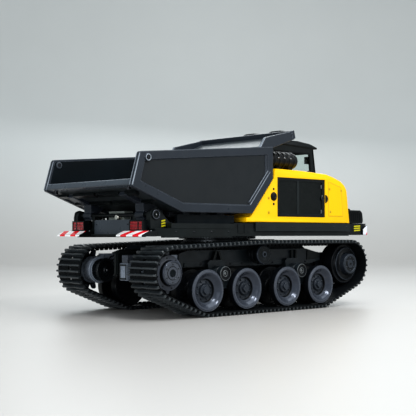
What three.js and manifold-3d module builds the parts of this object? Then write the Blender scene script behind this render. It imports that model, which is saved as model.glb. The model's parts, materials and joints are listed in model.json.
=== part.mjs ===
// Tracked rotating dump carrier, about 1:14 of the real machine.
// Millimetres, +X forward, +Y left, +Z up. The origin is on the ground under the slew axis.
import * as THREE from 'three';
import { mergeVertices } from 'three/addons/utils/BufferGeometryUtils.js';
import Module from 'manifold-3d';

const wasm = await Module();
wasm.setup();

// ---------------------------------------------------------------- driving dimensions
const GAP = 0.3;

// running gear
const WHEEL_R = 25;
const WHEEL_Z = 31;
const WHEEL_X = [-101.5, -36.25, 36.25, 101.5];
const WHEEL_FACE_Y = 93.4;
const INNER_DISC_Y = [54, 64];
const OUTER_DISC_Y = 83;
const AXLE_R = 4;
const BORE_R = 4.4;
const BOGIE_X = 68.9;
const BOGIE_Z = 50;
const SPROCKET = { x: -156.5, z: 53, r: 24.2 };
const IDLER = { x: 163.5, z: 56.75, r: 28.7 };
const CARRIER = { x: 0, z: 72, r: 13.7 };
const WHEEL_BELT_R = 26.2;
const BELT_Y = [49.5, 97.6];
const CARCASS = 2.3;
const LUG = 2.5;
const LUG_PITCH = 7;

// undercarriage
const FRAME_Y = [52, 71];
const FRAME_Z = [58, 78];
const BOX_Y = 44;
const RING_R = 51;
const LOWER_RING_R = 48;
const RING_Z = [84, 90.9, 96];

// upper structure
const DECK_Y = 86.5;
const DECK_Z = [96, 104];
const DECK_X = [-181, 199];
const SILL_Z = 112;
const HOOD_Y = [-86.2, -20];
const CAB_Y = [-18, 86];
const CAB_X = [84, 178];
const CAB_TOP = 222;

// dump bed and hoist
const BED_Y = 89;
const BED_WALL = 3.5;
const HINGE = { x: -168, z: 120 };
const BED_OUTLINE = [[-200.8, 189.7], [-210, 150.5], [-138, 123], [-23, 123], [14.2, 167.3], [14.2, 208.2]];
const HEADBOARD = [[-10.5, 201], [13.4, 201], [13.4, 208], [55.5, 221.3], [53.2, 231.5], [-0.4, 218.8]];
const HOIST_A = [-138, 101.5];
const HOIST_B = [-46, 114.4];
const CHEEK_Y = [8, 11];

// ---------------------------------------------------------------- geometry helpers

function solid(geometry) {
  const bare = geometry.clone();
  bare.deleteAttribute('normal');
  bare.deleteAttribute('uv');
  const merged = mergeVertices(bare, 1e-3);
  const index = merged.index.array;
  const tris = [];
  for (let i = 0; i < index.length; i += 3) {
    const [a, b, c] = [index[i], index[i + 1], index[i + 2]];
    if (a !== b && b !== c && a !== c) {
      tris.push(a, b, c);
    }
  }
  const build = (triVerts) => new wasm.Manifold(new wasm.Mesh({
    numProp: 3,
    vertProperties: merged.attributes.position.array,
    triVerts: new Uint32Array(triVerts),
  }));
  const first = build(tris);
  if (first.volume() > 0) {
    return first;
  }
  const flipped = [];
  for (let i = 0; i < tris.length; i += 3) {
    flipped.push(tris[i], tris[i + 2], tris[i + 1]);
  }
  return build(flipped);
}

function geometryOf(body) {
  const mesh = body.getMesh();
  const geometry = new THREE.BufferGeometry();
  geometry.setAttribute('position', new THREE.BufferAttribute(new Float32Array(mesh.vertProperties), 3));
  geometry.setIndex(new THREE.BufferAttribute(new Uint32Array(mesh.triVerts), 1));
  geometry.computeVertexNormals();
  return geometry;
}

const join = (first, ...rest) => rest.reduce((sum, next) => sum.add(next), first);
const cut = (first, ...rest) => rest.reduce((sum, next) => sum.subtract(next), first);

function box(x0, x1, y0, y1, z0, z1) {
  const g = new THREE.BoxGeometry(x1 - x0, y1 - y0, z1 - z0);
  g.translate((x0 + x1) / 2, (y0 + y1) / 2, (z0 + z1) / 2);
  return solid(g);
}

function rod(axis, a, b, from, to, r, segments = 20, rEnd = r) {
  const g = new THREE.CylinderGeometry(rEnd, r, to - from, segments);
  g.translate(0, (from + to) / 2, 0);
  if (axis === 'x') {
    g.rotateZ(-Math.PI / 2);
    g.translate(0, a, b);
  } else if (axis === 'y') {
    g.translate(a, 0, b);
  } else {
    g.rotateX(Math.PI / 2);
    g.translate(a, b, 0);
  }
  return solid(g);
}

const rodX = (y, z, x0, x1, r, n, r2) => rod('x', y, z, x0, x1, r, n, r2);
const rodY = (x, z, y0, y1, r, n, r2) => rod('y', x, z, y0, y1, r, n, r2);
const rodZ = (x, y, z0, z1, r, n, r2) => rod('z', x, y, z0, z1, r, n, r2);

function shapeOf(points, holes = []) {
  const shape = new THREE.Shape(points.map(([u, v]) => new THREE.Vector2(u, v)));
  for (const hole of holes) {
    shape.holes.push(new THREE.Path(hole.map(([u, v]) => new THREE.Vector2(u, v))));
  }
  return shape;
}

// points are (x, z), pulled from y0 to y1
function plateY(points, y0, y1, holes) {
  const g = new THREE.ExtrudeGeometry(shapeOf(points, holes), { depth: y1 - y0, bevelEnabled: false });
  g.rotateX(Math.PI / 2);
  g.translate(0, y1, 0);
  return solid(g);
}

// points are (y, z), pulled from x0 to x1
function plateX(points, x0, x1, holes) {
  const g = new THREE.ExtrudeGeometry(shapeOf(points, holes), { depth: x1 - x0, bevelEnabled: false });
  g.applyMatrix4(new THREE.Matrix4().makeBasis(
    new THREE.Vector3(0, 1, 0),
    new THREE.Vector3(0, 0, 1),
    new THREE.Vector3(1, 0, 0),
  ));
  g.translate(x0, 0, 0);
  return solid(g);
}

// points are (x, y), pulled from z0 to z1
function plateZ(points, z0, z1, holes) {
  const g = new THREE.ExtrudeGeometry(shapeOf(points, holes), { depth: z1 - z0, bevelEnabled: false });
  g.translate(0, 0, z0);
  return solid(g);
}

// profile is (radius, y), turned about the Y axis
function turned(profile, segments = 20) {
  const points = profile.map(([r, y]) => new THREE.Vector2(r, y));
  return solid(new THREE.LatheGeometry(points, segments));
}

function moved(body, x, y, z) {
  const g = geometryOf(body);
  g.translate(x, y, z);
  return solid(g);
}

// mirror image across the XZ plane
function mirrored(geometry) {
  const g = geometry.clone();
  const position = g.attributes.position;
  for (let i = 0; i < position.count; i += 1) {
    position.setY(i, -position.getY(i));
  }
  const index = g.index.array;
  for (let i = 0; i < index.length; i += 3) {
    [index[i + 1], index[i + 2]] = [index[i + 2], index[i + 1]];
  }
  g.computeVertexNormals();
  return g;
}

// polygon pushed inwards by a distance along its corner bisectors (points run anticlockwise)
function inset(points, distance) {
  const n = points.length;
  return points.map(([x, y], i) => {
    const [px, py] = points[(i + n - 1) % n];
    const [qx, qy] = points[(i + 1) % n];
    const a = new THREE.Vector2(x - px, y - py).normalize();
    const b = new THREE.Vector2(qx - x, qy - y).normalize();
    const na = new THREE.Vector2(-a.y, a.x);
    const nb = new THREE.Vector2(-b.y, b.x);
    const bis = na.clone().add(nb).normalize();
    const k = distance / Math.max(0.3, bis.dot(na));
    return [x + bis.x * k, y + bis.y * k];
  });
}

// ---------------------------------------------------------------- materials

const finish = (color, roughness, metalness) => new THREE.MeshStandardMaterial({ color, roughness, metalness });
const MATERIALS = {
  rubber: finish(0x17181a, 0.75, 0),
  wheel: finish(0x3a3d41, 0.45, 0.1),
  frame: finish(0x2c2f33, 0.5, 0.3),
  steel: finish(0x8d9094, 0.35, 0.9),
  motor: finish(0x1a1b1d, 0.4, 0.4),
  bed: finish(0x30353c, 0.4, 0.3),
  deck: finish(0x2b2e2f, 0.5, 0.3),
  yellow: finish(0xf7cf08, 0.35, 0),
  black: finish(0x111213, 0.45, 0),
  glossBlack: finish(0x0d0e10, 0.15, 0),
  red: finish(0xb3121a, 0.25, 0),
  white: finish(0xe9e9e6, 0.35, 0),
  glass: finish(0xaab4ba, 0.05, 0),
  amber: finish(0xe07a12, 0.3, 0),
  seat: finish(0x232427, 0.8, 0),
};

const machine = new THREE.Group();
const undercarriage = new THREE.Group();
const upper = new THREE.Group();
const bed = new THREE.Group();
machine.add(undercarriage, upper);
upper.add(bed);

function place(group, name, geometry, material, position = [0, 0, 0]) {
  const mesh = new THREE.Mesh(geometry, MATERIALS[material]);
  mesh.name = name;
  mesh.position.set(...position);
  group.add(mesh);
  return mesh;
}

// ---------------------------------------------------------------- track belt

// tangent loop around circles that lie anticlockwise on a convex path
function loopAround(circles, offset, step) {
  const n = circles.length;
  const angles = circles.map((c, i) => {
    const d = circles[(i + 1) % n];
    const length = Math.hypot(d.x - c.x, d.z - c.z);
    const along = Math.atan2(d.z - c.z, d.x - c.x);
    return along - Math.acos((c.r - d.r) / length);
  });
  const points = [];
  circles.forEach((c, i) => {
    const from = angles[(i + n - 1) % n];
    let to = angles[i];
    while (to < from - 1e-6) {
      to += 2 * Math.PI;
    }
    const count = Math.max(1, Math.ceil((to - from) / step));
    for (let k = 0; k <= count; k += 1) {
      const a = from + ((to - from) * k) / count;
      points.push([c.x + (c.r + offset) * Math.cos(a), c.z + (c.r + offset) * Math.sin(a)]);
    }
  });
  return points;
}

// points every pitch along a closed polyline, with the outward normal
function walk(points, count, phases) {
  const lengths = points.map(([x, z], i) => {
    const [u, v] = points[(i + 1) % points.length];
    return Math.hypot(u - x, v - z);
  });
  const total = lengths.reduce((a, b) => a + b, 0);
  const out = [];
  let segment = 0;
  let passed = 0;
  for (let i = 0; i < count; i += 1) {
    for (const [phase, height] of phases) {
      const s = ((i + phase) / count) * total;
      while (segment < points.length - 1 && passed + lengths[segment] < s) {
        passed += lengths[segment];
        segment += 1;
      }
      const [x, z] = points[segment];
      const [u, v] = points[(segment + 1) % points.length];
      const t = (s - passed) / lengths[segment];
      const nx = (v - z) / lengths[segment];
      const nz = (x - u) / lengths[segment];
      out.push([x + (u - x) * t + nx * height, z + (v - z) * t + nz * height]);
    }
  }
  return out;
}

const FIRST_WHEEL = { x: WHEEL_X[0], z: WHEEL_Z, r: WHEEL_BELT_R };
const LAST_WHEEL = { x: WHEEL_X[3], z: WHEEL_Z, r: WHEEL_BELT_R };
const BELT_CIRCLES = [FIRST_WHEEL, LAST_WHEEL, IDLER, CARRIER, SPROCKET];

function trackBelt() {
  const inner = loopAround(BELT_CIRCLES, 0, 0.24);
  const middle = loopAround(BELT_CIRCLES, CARCASS, 0.1);
  const length = middle.reduce((sum, [x, z], i) => {
    const [u, v] = middle[(i + 1) % middle.length];
    return sum + Math.hypot(u - x, v - z);
  }, 0);
  const count = Math.round(length / LUG_PITCH);
  const outer = walk(middle, count, [[0, 0], [0.4, 0], [0.5, LUG], [0.9, LUG]]);
  return plateY(outer, -BELT_Y[1], -BELT_Y[0], [inner]);
}

// ---------------------------------------------------------------- running gear (right side)

function roadWheel() {
  const f = WHEEL_FACE_Y;
  return turned([
    [0, -f], [7, -f], [9, -f + 2.6], [18, -f + 2.6], [20.5, -f], [WHEEL_R, -f + 1.2], [WHEEL_R, -OUTER_DISC_Y],
    [AXLE_R, -OUTER_DISC_Y], [AXLE_R, -INNER_DISC_Y[1]], [WHEEL_R, -INNER_DISC_Y[1]],
    [WHEEL_R, -INNER_DISC_Y[0]], [0, -INNER_DISC_Y[0]],
  ], 18);
}

function sprocket() {
  const teeth = 13;
  const ring = [];
  for (let i = 0; i < teeth * 4; i += 1) {
    const a = ((i + 0.5) / (teeth * 4)) * 2 * Math.PI;
    const r = i % 4 < 2 ? 22.6 : 19.4;
    ring.push([r * Math.cos(a), r * Math.sin(a)]);
  }
  const hub = turned([
    [4.8, -93.4], [12.3, -93.4], [12.3, -87.6], [20.5, -86.6], [20.5, -80], [10, -80], [10, -66.5],
    [BORE_R, -66.5], [BORE_R, -90], [4.8, -90], [4.8, -93.4],
  ], 20);
  const hole = [];
  for (let i = 0; i < 20; i += 1) {
    const a = -(i / 20) * 2 * Math.PI;
    hole.push([9 * Math.cos(a), 9 * Math.sin(a)]);
  }
  return join(hub, plateY(ring, -80.5, -70, [hole]));
}

function idler() {
  return turned([
    [0, -93.4], [14, -93.4], [14, -86], [22, -85], [22, -83.5], [27.4, -82.5], [27.4, -61],
    [9, -60], [BORE_R, -60], [BORE_R, -90], [0, -90],
  ], 22);
}

function carrierRoller() {
  return turned([
    [0, -87], [9, -87], [12.4, -86], [12.4, -73], [BORE_R, -73], [BORE_R, -84], [0, -84],
  ], 18);
}

function bogie(dx) {
  const half = (WHEEL_X[1] - WHEEL_X[0]) / 2;
  const arm = [
    [-half - 6, WHEEL_Z - 5], [-half, WHEEL_Z - 8], [-half + 8, WHEEL_Z - 6], [-8, 33], [8, 33],
    [half - 8, WHEEL_Z - 6], [half, WHEEL_Z - 8], [half + 6, WHEEL_Z - 5], [half + 8, WHEEL_Z + 2],
    [half + 2, WHEEL_Z + 8], [9, 56], [4, 59], [-4, 59], [-9, 56], [-half - 2, WHEEL_Z + 8],
    [-half - 8, WHEEL_Z + 2],
  ].map(([x, z]) => [x + dx, z]);
  return cut(
    join(plateY(arm, -81, -72), rodY(dx, BOGIE_Z, -88.6, -80, 9, 18)),
    rodY(dx - half, WHEEL_Z, -95, -60, BORE_R, 16),
    rodY(dx + half, WHEEL_Z, -95, -60, BORE_R, 16),
    rodY(dx, BOGIE_Z, -86.4, -60, BORE_R, 16),
  );
}

function trackFrame() {
  const beam = [
    [-124, 60], [-118, FRAME_Z[0]], [109, FRAME_Z[0]], [131, 63], [131, 75], [126, FRAME_Z[1]], [-110, FRAME_Z[1]],
    [-124, 74],
  ];
  const hanger = (x) => [[x - 14, 62], [x - 7, 44], [x + 7, 44], [x + 14, 62]];
  return join(
    plateY(beam, -FRAME_Y[1], -FRAME_Y[0]),
    plateY(hanger(-BOGIE_X), -FRAME_Y[1], -66),
    plateY(hanger(BOGIE_X), -FRAME_Y[1], -66),
    rodY(-BOGIE_X, BOGIE_Z, -86, -70, AXLE_R, 16),
    rodY(BOGIE_X, BOGIE_Z, -86, -70, AXLE_R, 16),
    rodY(CARRIER.x, CARRIER.z, -83.6, -70, AXLE_R, 16),
  );
}

function driveGearbox() {
  return join(
    rodY(SPROCKET.x, SPROCKET.z, -66, -46.3, 15, 20),
    box(-146, -124.3, -64, -54, 61, 73),
    rodY(SPROCKET.x, SPROCKET.z, -89.6, -65, AXLE_R, 16),
  );
}

function driveMotor() {
  return join(
    rodY(SPROCKET.x, SPROCKET.z, -46, -33, 12, 20),
    rodY(SPROCKET.x, SPROCKET.z, -33.5, -31.4, 4, 12),
  );
}

function idlerYoke() {
  const arm = [[131.3, 63], [150, 52], [163.5, 47.5], [171, 56.75], [163.5, 66], [148, 75], [131.3, 75]];
  return join(
    plateY(arm, -58.5, FRAME_Y[0] * -1),
    rodY(IDLER.x, IDLER.z, -89.6, -58, AXLE_R, 16),
  );
}

const sides = [['right', (body) => geometryOf(body)], ['left', (body) => mirrored(geometryOf(body))]];
for (const [side, facing] of sides) {
  place(undercarriage, `${side}_track_frame`, facing(trackFrame()), 'frame');
  place(undercarriage, `${side}_track_belt`, facing(trackBelt()), 'rubber');
  place(undercarriage, `${side}_drive_gearbox`, facing(driveGearbox()), 'steel');
  place(undercarriage, `${side}_drive_motor`, facing(driveMotor()), 'motor');
  place(undercarriage, `${side}_idler_yoke`, facing(idlerYoke()), 'frame');
  place(undercarriage, `${side}_sprocket`, facing(sprocket()), 'wheel', [SPROCKET.x, 0, SPROCKET.z]);
  place(undercarriage, `${side}_idler`, facing(idler()), 'wheel', [IDLER.x, 0, IDLER.z]);
  place(undercarriage, `${side}_carrier_roller`, facing(carrierRoller()), 'wheel', [CARRIER.x, 0, CARRIER.z]);
  place(undercarriage, `${side}_bogie_rear`, facing(bogie(-BOGIE_X)), 'frame');
  place(undercarriage, `${side}_bogie_front`, facing(bogie(BOGIE_X)), 'frame');
  WHEEL_X.forEach((x, i) => {
    place(undercarriage, `${side}_road_wheel_${i + 1}`, facing(roadWheel()), 'wheel', [x, 0, WHEEL_Z]);
  });
}

// ---------------------------------------------------------------- chassis and slew ring

const chassisSide = [
  [-125, 52], [-118, 46], [118, 46], [128, 54], [128, 78], [118, RING_Z[0] - GAP], [-118, RING_Z[0] - GAP], [-125, 78],
];
let chassis = plateY(chassisSide, -BOX_Y, BOX_Y);
for (const x of [-55, 55]) {
  chassis = join(chassis, box(x - 12, x + 12, -FRAME_Y[0] + GAP, FRAME_Y[0] - GAP, 60, 76));
}
chassis = join(chassis, box(-168, -124, -2, 2, 48, 78));
place(undercarriage, 'chassis_box', geometryOf(chassis), 'frame');

const lowerRing = turned([
  [30, 0], [LOWER_RING_R, 0], [LOWER_RING_R, 3], [LOWER_RING_R - 3, 3], [LOWER_RING_R - 3, 6.9], [30, 6.9], [30, 0],
], 36);
const upperRing = turned([[30, 0], [RING_R, 0], [RING_R, 4.5], [30, 4.5], [30, 0]], 36);
const flat = (body) => {
  const g = geometryOf(body);
  g.rotateX(Math.PI / 2);
  return g;
};
place(undercarriage, 'slew_ring_lower', flat(lowerRing), 'steel', [0, 0, RING_Z[0]]);
place(upper, 'slew_ring_upper', flat(upperRing), 'steel', [0, 0, RING_Z[1] + GAP]);

// ---------------------------------------------------------------- deck

const hoistSlot = box(-150, -56, -14, 14, 90, 110);
let deck = plateZ([
  [DECK_X[0], -35.6], [DECK_X[0], 35.6], [-172, 35.6], [-172, DECK_Y - 6], [-162, DECK_Y], [DECK_X[1] - 28, DECK_Y],
  [DECK_X[1] - 28, -DECK_Y], [-162, -DECK_Y], [-172, -DECK_Y + 6], [-172, -35.6],
], DECK_Z[0], DECK_Z[1]);
deck = join(
  deck,
  box(DECK_X[0], DECK_X[0] + 5, -35.6, 35.6, DECK_Z[0], 114.5),
  box(-15, 171, -DECK_Y, -16, DECK_Z[0], SILL_Z),
  box(-52, -15.2, -DECK_Y + 2, -70, DECK_Z[0], SILL_Z - 1),
  box(-153, -52, -DECK_Y, -DECK_Y + 8, DECK_Z[0], SILL_Z - 2),
  box(-153, 20, DECK_Y - 8, DECK_Y, DECK_Z[0], SILL_Z - 2),
  box(20, 171, -16.5, DECK_Y, DECK_Z[0], SILL_Z),
);
const ear = [
  [HINGE.x - 4, 100], [HINGE.x + 14, 100], [HINGE.x + 7, 118], [HINGE.x + 5, 123], [HINGE.x, 126],
  [HINGE.x - 5, 123], [HINGE.x - 7, 118], [HINGE.x - 7, 106], [HINGE.x - 4, 104],
];
for (const y of [-80, 74]) {
  deck = join(deck, plateY(ear, y, y + 6));
}
const PIN_R = 3.5;
deck = cut(
  deck,
  hoistSlot,
  rodY(HINGE.x, HINGE.z, -90, 90, PIN_R + GAP, 20),
  box(-168, -146, -30, 30, 94, 106),
);
for (const y of [-11, 8]) {
  deck = join(deck, plateY([
    [HOIST_A[0] - 9, 97], [HOIST_A[0] + 8, 97], [HOIST_A[0] + 4, 107], [HOIST_A[0] - 4, 107],
  ], y, y + 3));
}
deck = join(deck, box(-151, -146, -14.5, 14.5, 96, 103));
place(upper, 'deck_frame', geometryOf(deck), 'deck');

place(upper, 'bed_hinge_pin', geometryOf(join(
  rodY(HINGE.x, HINGE.z, -80.3, 80.3, PIN_R, 20),
  rodY(HINGE.x, HINGE.z, -84, -80.3, 5.5, 6),
  rodY(HINGE.x, HINGE.z, 80.3, 84, 5.5, 6),
)), 'black');

// ---------------------------------------------------------------- engine hood

const hoodSide = [
  [-44.5, SILL_Z + GAP], [171, SILL_Z + GAP], [164.7, 157.7], [160, 164], [152, 169.4], [136, 174.6], [120.9, 178],
  [70, 180.4], [21.5, 181], [19, 176], [18, 168], [-24, 118.6], [-44.5, 118],
];
let hood = cut(
  plateY(hoodSide, HOOD_Y[0], HOOD_Y[1]),
  plateY([
    [-12, SILL_Z - 2], [168, SILL_Z - 2], [161.8, 156.5], [157.6, 161.8], [151, 166.4], [135, 171.6], [120.4, 175],
    [70, 177.4], [24, 178], [21, 167],
  ], HOOD_Y[0] + 3, HOOD_Y[1] - 3),
  box(24.7, 118.3, -95, -80, 119.7, 170.3),
  box(-60, -15, -90, -10, 100, 114),
  rodY(17.5, 145.2, -95, -80, 6, 18),
);
place(upper, 'engine_hood', geometryOf(hood), 'yellow');

const DOOR = { x0: 25, x1: 118, z0: 120, z1: 170, y: -85.7 };
const doorOutline = [[DOOR.x0, DOOR.z0], [DOOR.x1, DOOR.z0], [DOOR.x1, DOOR.z1], [DOOR.x0, DOOR.z1]];
const vents = [];
for (let i = 0; i < 2; i += 1) {
  for (let k = 0; k < 5; k += 1) {
    const x = 30 + i * 38;
    const z = 126 + k * 8.4;
    vents.push(box(x, x + 31, DOOR.y - 5, DOOR.y + 5, z, z + 5.4));
  }
}
place(upper, 'engine_door', geometryOf(join(
  cut(plateY(doorOutline, DOOR.y, DOOR.y + 2.4), ...vents),
  rodY(113, 144.7, DOOR.y - 1.2, DOOR.y + 0.5, 3.6, 14),
)), 'black');

place(upper, 'fuel_cap', geometryOf(join(
  rodY(17.5, 145.2, -88.6, -85.8, 5.5, 14),
  rodY(17.5, 145.2, -85.9, -83.8, 3.5, 14),
)), 'black');

place(upper, 'engine_block', geometryOf(join(
  box(30, 128, -70, -34, SILL_Z + GAP, 146),
  box(38, 100, -64, -40, 145, 160),
  rodX(-52, 150, 100, 118, 8, 14),
  box(128, 144, -74, -30, SILL_Z + GAP, 156),
)), 'motor');

const FILTER = { y: -64, z: 194, x0: 28, x1: 80, r: 12 };
let filter = rodX(FILTER.y, FILTER.z, FILTER.x0, FILTER.x1, FILTER.r - 1.8, 14);
for (let i = 0; i < 4; i += 1) {
  const x = FILTER.x0 + 4 + i * 11.6;
  filter = join(filter, rodX(FILTER.y, FILTER.z, x, x + 4.4, FILTER.r, 14));
}
filter = join(filter, box(40, 48, -70, -58, 181.2, 190), box(62, 70, -70, -58, 180.9, 190));
place(upper, 'air_filter', geometryOf(filter), 'glossBlack');

// ---------------------------------------------------------------- cab

const [CY0, CY1] = CAB_Y;
const cabSide = [
  [CAB_X[0], SILL_Z + GAP], [CAB_X[1], SILL_Z + GAP], [CAB_X[1] + 1.5, 150], [CAB_X[1] - 6, CAB_TOP - 2],
  [CAB_X[0] + 2, CAB_TOP + 2], [CAB_X[0], CAB_TOP],
];
const cabInside = [
  [CAB_X[0] + 3, SILL_Z - 2], [CAB_X[1] - 3, SILL_Z - 2], [CAB_X[1] - 1.6, 150], [CAB_X[1] - 8.6, CAB_TOP - 5],
  [CAB_X[0] + 3, CAB_TOP - 1],
];
const sideWindow = [
  [CAB_X[0] + 9, 168], [CAB_X[1] - 9, 168], [CAB_X[1] - 12, 208], [CAB_X[0] + 9, 210],
];
const doorHole = [
  [CAB_X[0] + 12, 118], [CAB_X[1] - 10, 118], [CAB_X[1] - 9, 150], [CAB_X[1] - 14, CAB_TOP - 8],
  [CAB_X[0] + 12, CAB_TOP - 6],
];
const frontWindow = [[CY0 + 7, 150], [CY1 - 7, 150], [CY1 - 7, 214], [CY0 + 7, 214]];
const rearWindow = [[CY0 + 10, 186], [CY1 - 10, 186], [CY1 - 10, 214], [CY0 + 10, 214]];
const cabShell = cut(
  plateY(cabSide, CY0, CY1),
  plateY(cabInside, CY0 + 3, CY1 - 3),
  plateY(sideWindow, CY0 - 5, CY0 + 5),
  plateY(doorHole, CY1 - 5, CY1 + 5),
  plateX(frontWindow, CAB_X[1] - 14, CAB_X[1] + 6),
  plateX(rearWindow, CAB_X[0] - 4, CAB_X[0] + 6),
);
place(upper, 'cab_shell', geometryOf(cabShell), 'black');

const roofSide = [
  [CAB_X[0] - 2, CAB_TOP + 2.6], [CAB_X[1] - 6, CAB_TOP - 1.4], [CAB_X[1] + 2.5, CAB_TOP - 0.8],
  [CAB_X[1] + 2.5, CAB_TOP + 1.8], [CAB_X[1] - 18, CAB_TOP + 5.6], [CAB_X[1] - 42, CAB_TOP + 7.4],
  [CAB_X[0] + 20, CAB_TOP + 7.6], [CAB_X[0] - 2, CAB_TOP + 6],
];
place(upper, 'cab_roof', geometryOf(plateY(roofSide, CY0 - 1, CY1 + 1)), 'black');

const pane = (hole, y0, y1) => plateY(inset([...hole], GAP), y0, y1);
place(upper, 'cab_glass_right', geometryOf(pane(sideWindow, CY0 + 0.8, CY0 + 2)), 'glass');
const windscreen = cut(
  plateX(inset(frontWindow, GAP), CAB_X[1] - 10, CAB_X[1] + 4),
  plateY([
    [CAB_X[1] - 30, 140], [CAB_X[1] - 0.2, 140], [CAB_X[1] - 0.2, 150], [CAB_X[1] - 7.4, CAB_TOP],
    [CAB_X[1] - 30, CAB_TOP],
  ], CY0 - 5, CY1 + 5),
  plateY([
    [CAB_X[1] + 20, 140], [CAB_X[1] + 20, CAB_TOP], [CAB_X[1] - 6.2, CAB_TOP], [CAB_X[1] + 1, 150],
    [CAB_X[1] + 1, 140],
  ], CY0 - 5, CY1 + 5),
);
place(upper, 'cab_glass_front', geometryOf(windscreen), 'glass');
place(upper, 'cab_glass_rear', geometryOf(plateX(inset(rearWindow, GAP), CAB_X[0] + 0.8, CAB_X[0] + 2)), 'glass');

const doorRing = inset(doorHole, GAP);
const doorWindow = [
  [CAB_X[0] + 19, 160], [CAB_X[1] - 17, 160], [CAB_X[1] - 20, CAB_TOP - 14], [CAB_X[0] + 19, CAB_TOP - 12],
].reverse();
place(upper, 'cab_door', geometryOf(join(
  plateY(doorRing, CY1 - 2.2, CY1 + 0.6, [doorWindow]),
  box(CAB_X[0] + 18, CAB_X[0] + 26, CY1 + 0.4, CY1 + 2.4, 148, 151),
)), 'black');

place(upper, 'cab_seat', geometryOf(join(
  box(100, 136, 16, 52, SILL_Z + GAP, 132),
  box(98, 138, 14, 54, 131.5, 140),
  plateY([[94, 138], [104, 138], [98, 180], [90, 180]], 18, 50),
)), 'seat');
place(upper, 'cab_console', geometryOf(join(
  box(152, 168, 24, 44, SILL_Z + GAP, 142),
  plateY([[148, 141], [170, 141], [170, 147], [152, 152]], 18, 50),
)), 'black');

place(upper, 'hydraulic_tank', geometryOf(join(
  plateX([
    [14, SILL_Z + GAP], [84, SILL_Z + GAP], [84, 160], [80, 164], [18, 164], [14, 160],
  ], 26, 78),
  rodZ(50, 62, 163.5, 168, 7, 14),
)), 'deck');

const lamp = [
  [124, CAB_TOP + 7.9], [136, CAB_TOP + 7.7], [136, 233], [138, 235], [137, 244], [134, 246], [122, 246], [120, 243],
  [120, 235], [124, 232],
];
for (const [side, y] of [['right', 8], ['left', 60]]) {
  place(upper, `roof_lamp_${side}`, geometryOf(plateY(lamp, y - 13, y + 13)), 'amber');
}

// ---------------------------------------------------------------- front and rear fittings

place(upper, 'front_box', geometryOf(cut(
  plateY([[171.6, SILL_Z + GAP], [199, SILL_Z + GAP], [200, 116], [198, 128], [194, 130], [171.6, 130]], -84, 84),
  box(160, CAB_X[1] + 2.2, CAB_Y[0] - GAP, 90, 110, 140),
)), 'black');
place(upper, 'front_bumper', geometryOf(join(
  plateY([[171.3, 96], [197, 96], [200, 99], [200, 104.6], [209, 110.6], [210, SILL_Z], [171.3, SILL_Z]], -84, 84),
)), 'black');

const slab = (points, y0, y1) => geometryOf(plateY(points, y0, y1));
const frontPlate = [[200.3, 99], [208.6, 95.4], [209.6, 97.4], [203, 104.4], [200.3, 104.2]];
const rearPlate = [[-194.4, 94.8], [-172.3, 94.8], [-172.3, 100.9], [-184, 100.9], [-194.4, 96.4]];
for (const [side, y0, y1] of [['right', -86.5, -36], ['left', 36, 86.5]]) {
  place(upper, `rear_marker_${side}`, slab(rearPlate, y0, y1), 'white');
  place(upper, `front_marker_${side}`, slab(frontPlate, y0, y1), 'white');
  const inner = side === 'right' ? y0 + 16.5 : y1 - 41.5;
  const lens = [[-181.5, 101.2], [-172.3, 101.2], [-172.3, 110.5], [-175.5, 113.5], [-181.5, 113.5]];
  place(upper, `tail_light_${side}`, slab(lens, inner, inner + 25), 'red');
}

// ---------------------------------------------------------------- dump bed

const wall = (y0, y1) => plateY(BED_OUTLINE.slice().reverse(), y0, y1);
const panel = inset(BED_OUTLINE, 10.5);
const floorTop = 127;
const floorSide = [
  [-210, 150.5], [-208.4, 156], [-137, floorTop], [-24.6, floorTop], [11, 168.6], [11, 207], [14.2, 207.2],
  [14.2, 167.3], [-23, 123], [-138, 123],
];
const headPlate = [
  [12, 204], [13.4, 208], [55.5, 221.3], [53.2, 231.5], [48, 230.2], [50.6, 223.4], [12, 211.2],
];
const BED_HALF = BED_Y;
let tub = join(
  wall(-BED_HALF, -BED_HALF + BED_WALL),
  wall(BED_HALF - BED_WALL, BED_HALF),
  plateY(floorSide, -BED_HALF + 1, BED_HALF - 1),
  plateY(headPlate, -BED_HALF + 1, BED_HALF - 1),
  plateY(HEADBOARD, -BED_HALF, -BED_HALF + BED_WALL),
  plateY(HEADBOARD, BED_HALF - BED_WALL, BED_HALF),
);
tub = cut(
  tub,
  plateY(panel, -BED_HALF - 1, -BED_HALF + 1.2),
  plateY(panel, BED_HALF - 1.2, BED_HALF + 1),
);
const bedArm = [
  [HINGE.x - 7, HINGE.z - 4], [HINGE.x - 4, HINGE.z - 7], [HINGE.x + 4, HINGE.z - 7], [HINGE.x + 7, HINGE.z - 4],
  [HINGE.x + 16, 131], [HINGE.x + 20, 130], [HINGE.x - 12, 141.5], [HINGE.x - 8, 132],
];
for (const y of [-59, 44]) {
  tub = join(tub, cut(
    plateY(bedArm, y, y + 15),
    rodY(HINGE.x, HINGE.z, y - 1, y + 16, PIN_R + GAP, 20),
  ));
}
tub = join(tub, plateY([
  [-209.7, 150.9], [-207.9, 158.6], [-199.6, 157.2], [-200.6, 147.6],
], -BED_HALF + 0.6, BED_HALF - 0.6));
for (const x of [-118, -64]) {
  tub = join(tub, box(x - 5, x + 5, -80, -24, 116, 123.5), box(x - 5, x + 5, 24, 80, 116, 123.5));
}
for (const y of [-CHEEK_Y[1], CHEEK_Y[0]]) {
  tub = join(tub, plateY([
    [HOIST_B[0] - 9, 123.5], [HOIST_B[0] - 5, 110], [HOIST_B[0] + 5, 110], [HOIST_B[0] + 9, 123.5],
  ], y, y + CHEEK_Y[1] - CHEEK_Y[0]));
}
for (const [y0, y1] of [[-13, -10.5], [10.5, 13]]) {
  tub = join(tub, rodY(HOIST_B[0], HOIST_B[1], y0, y1, 3.4, 12));
}
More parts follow.
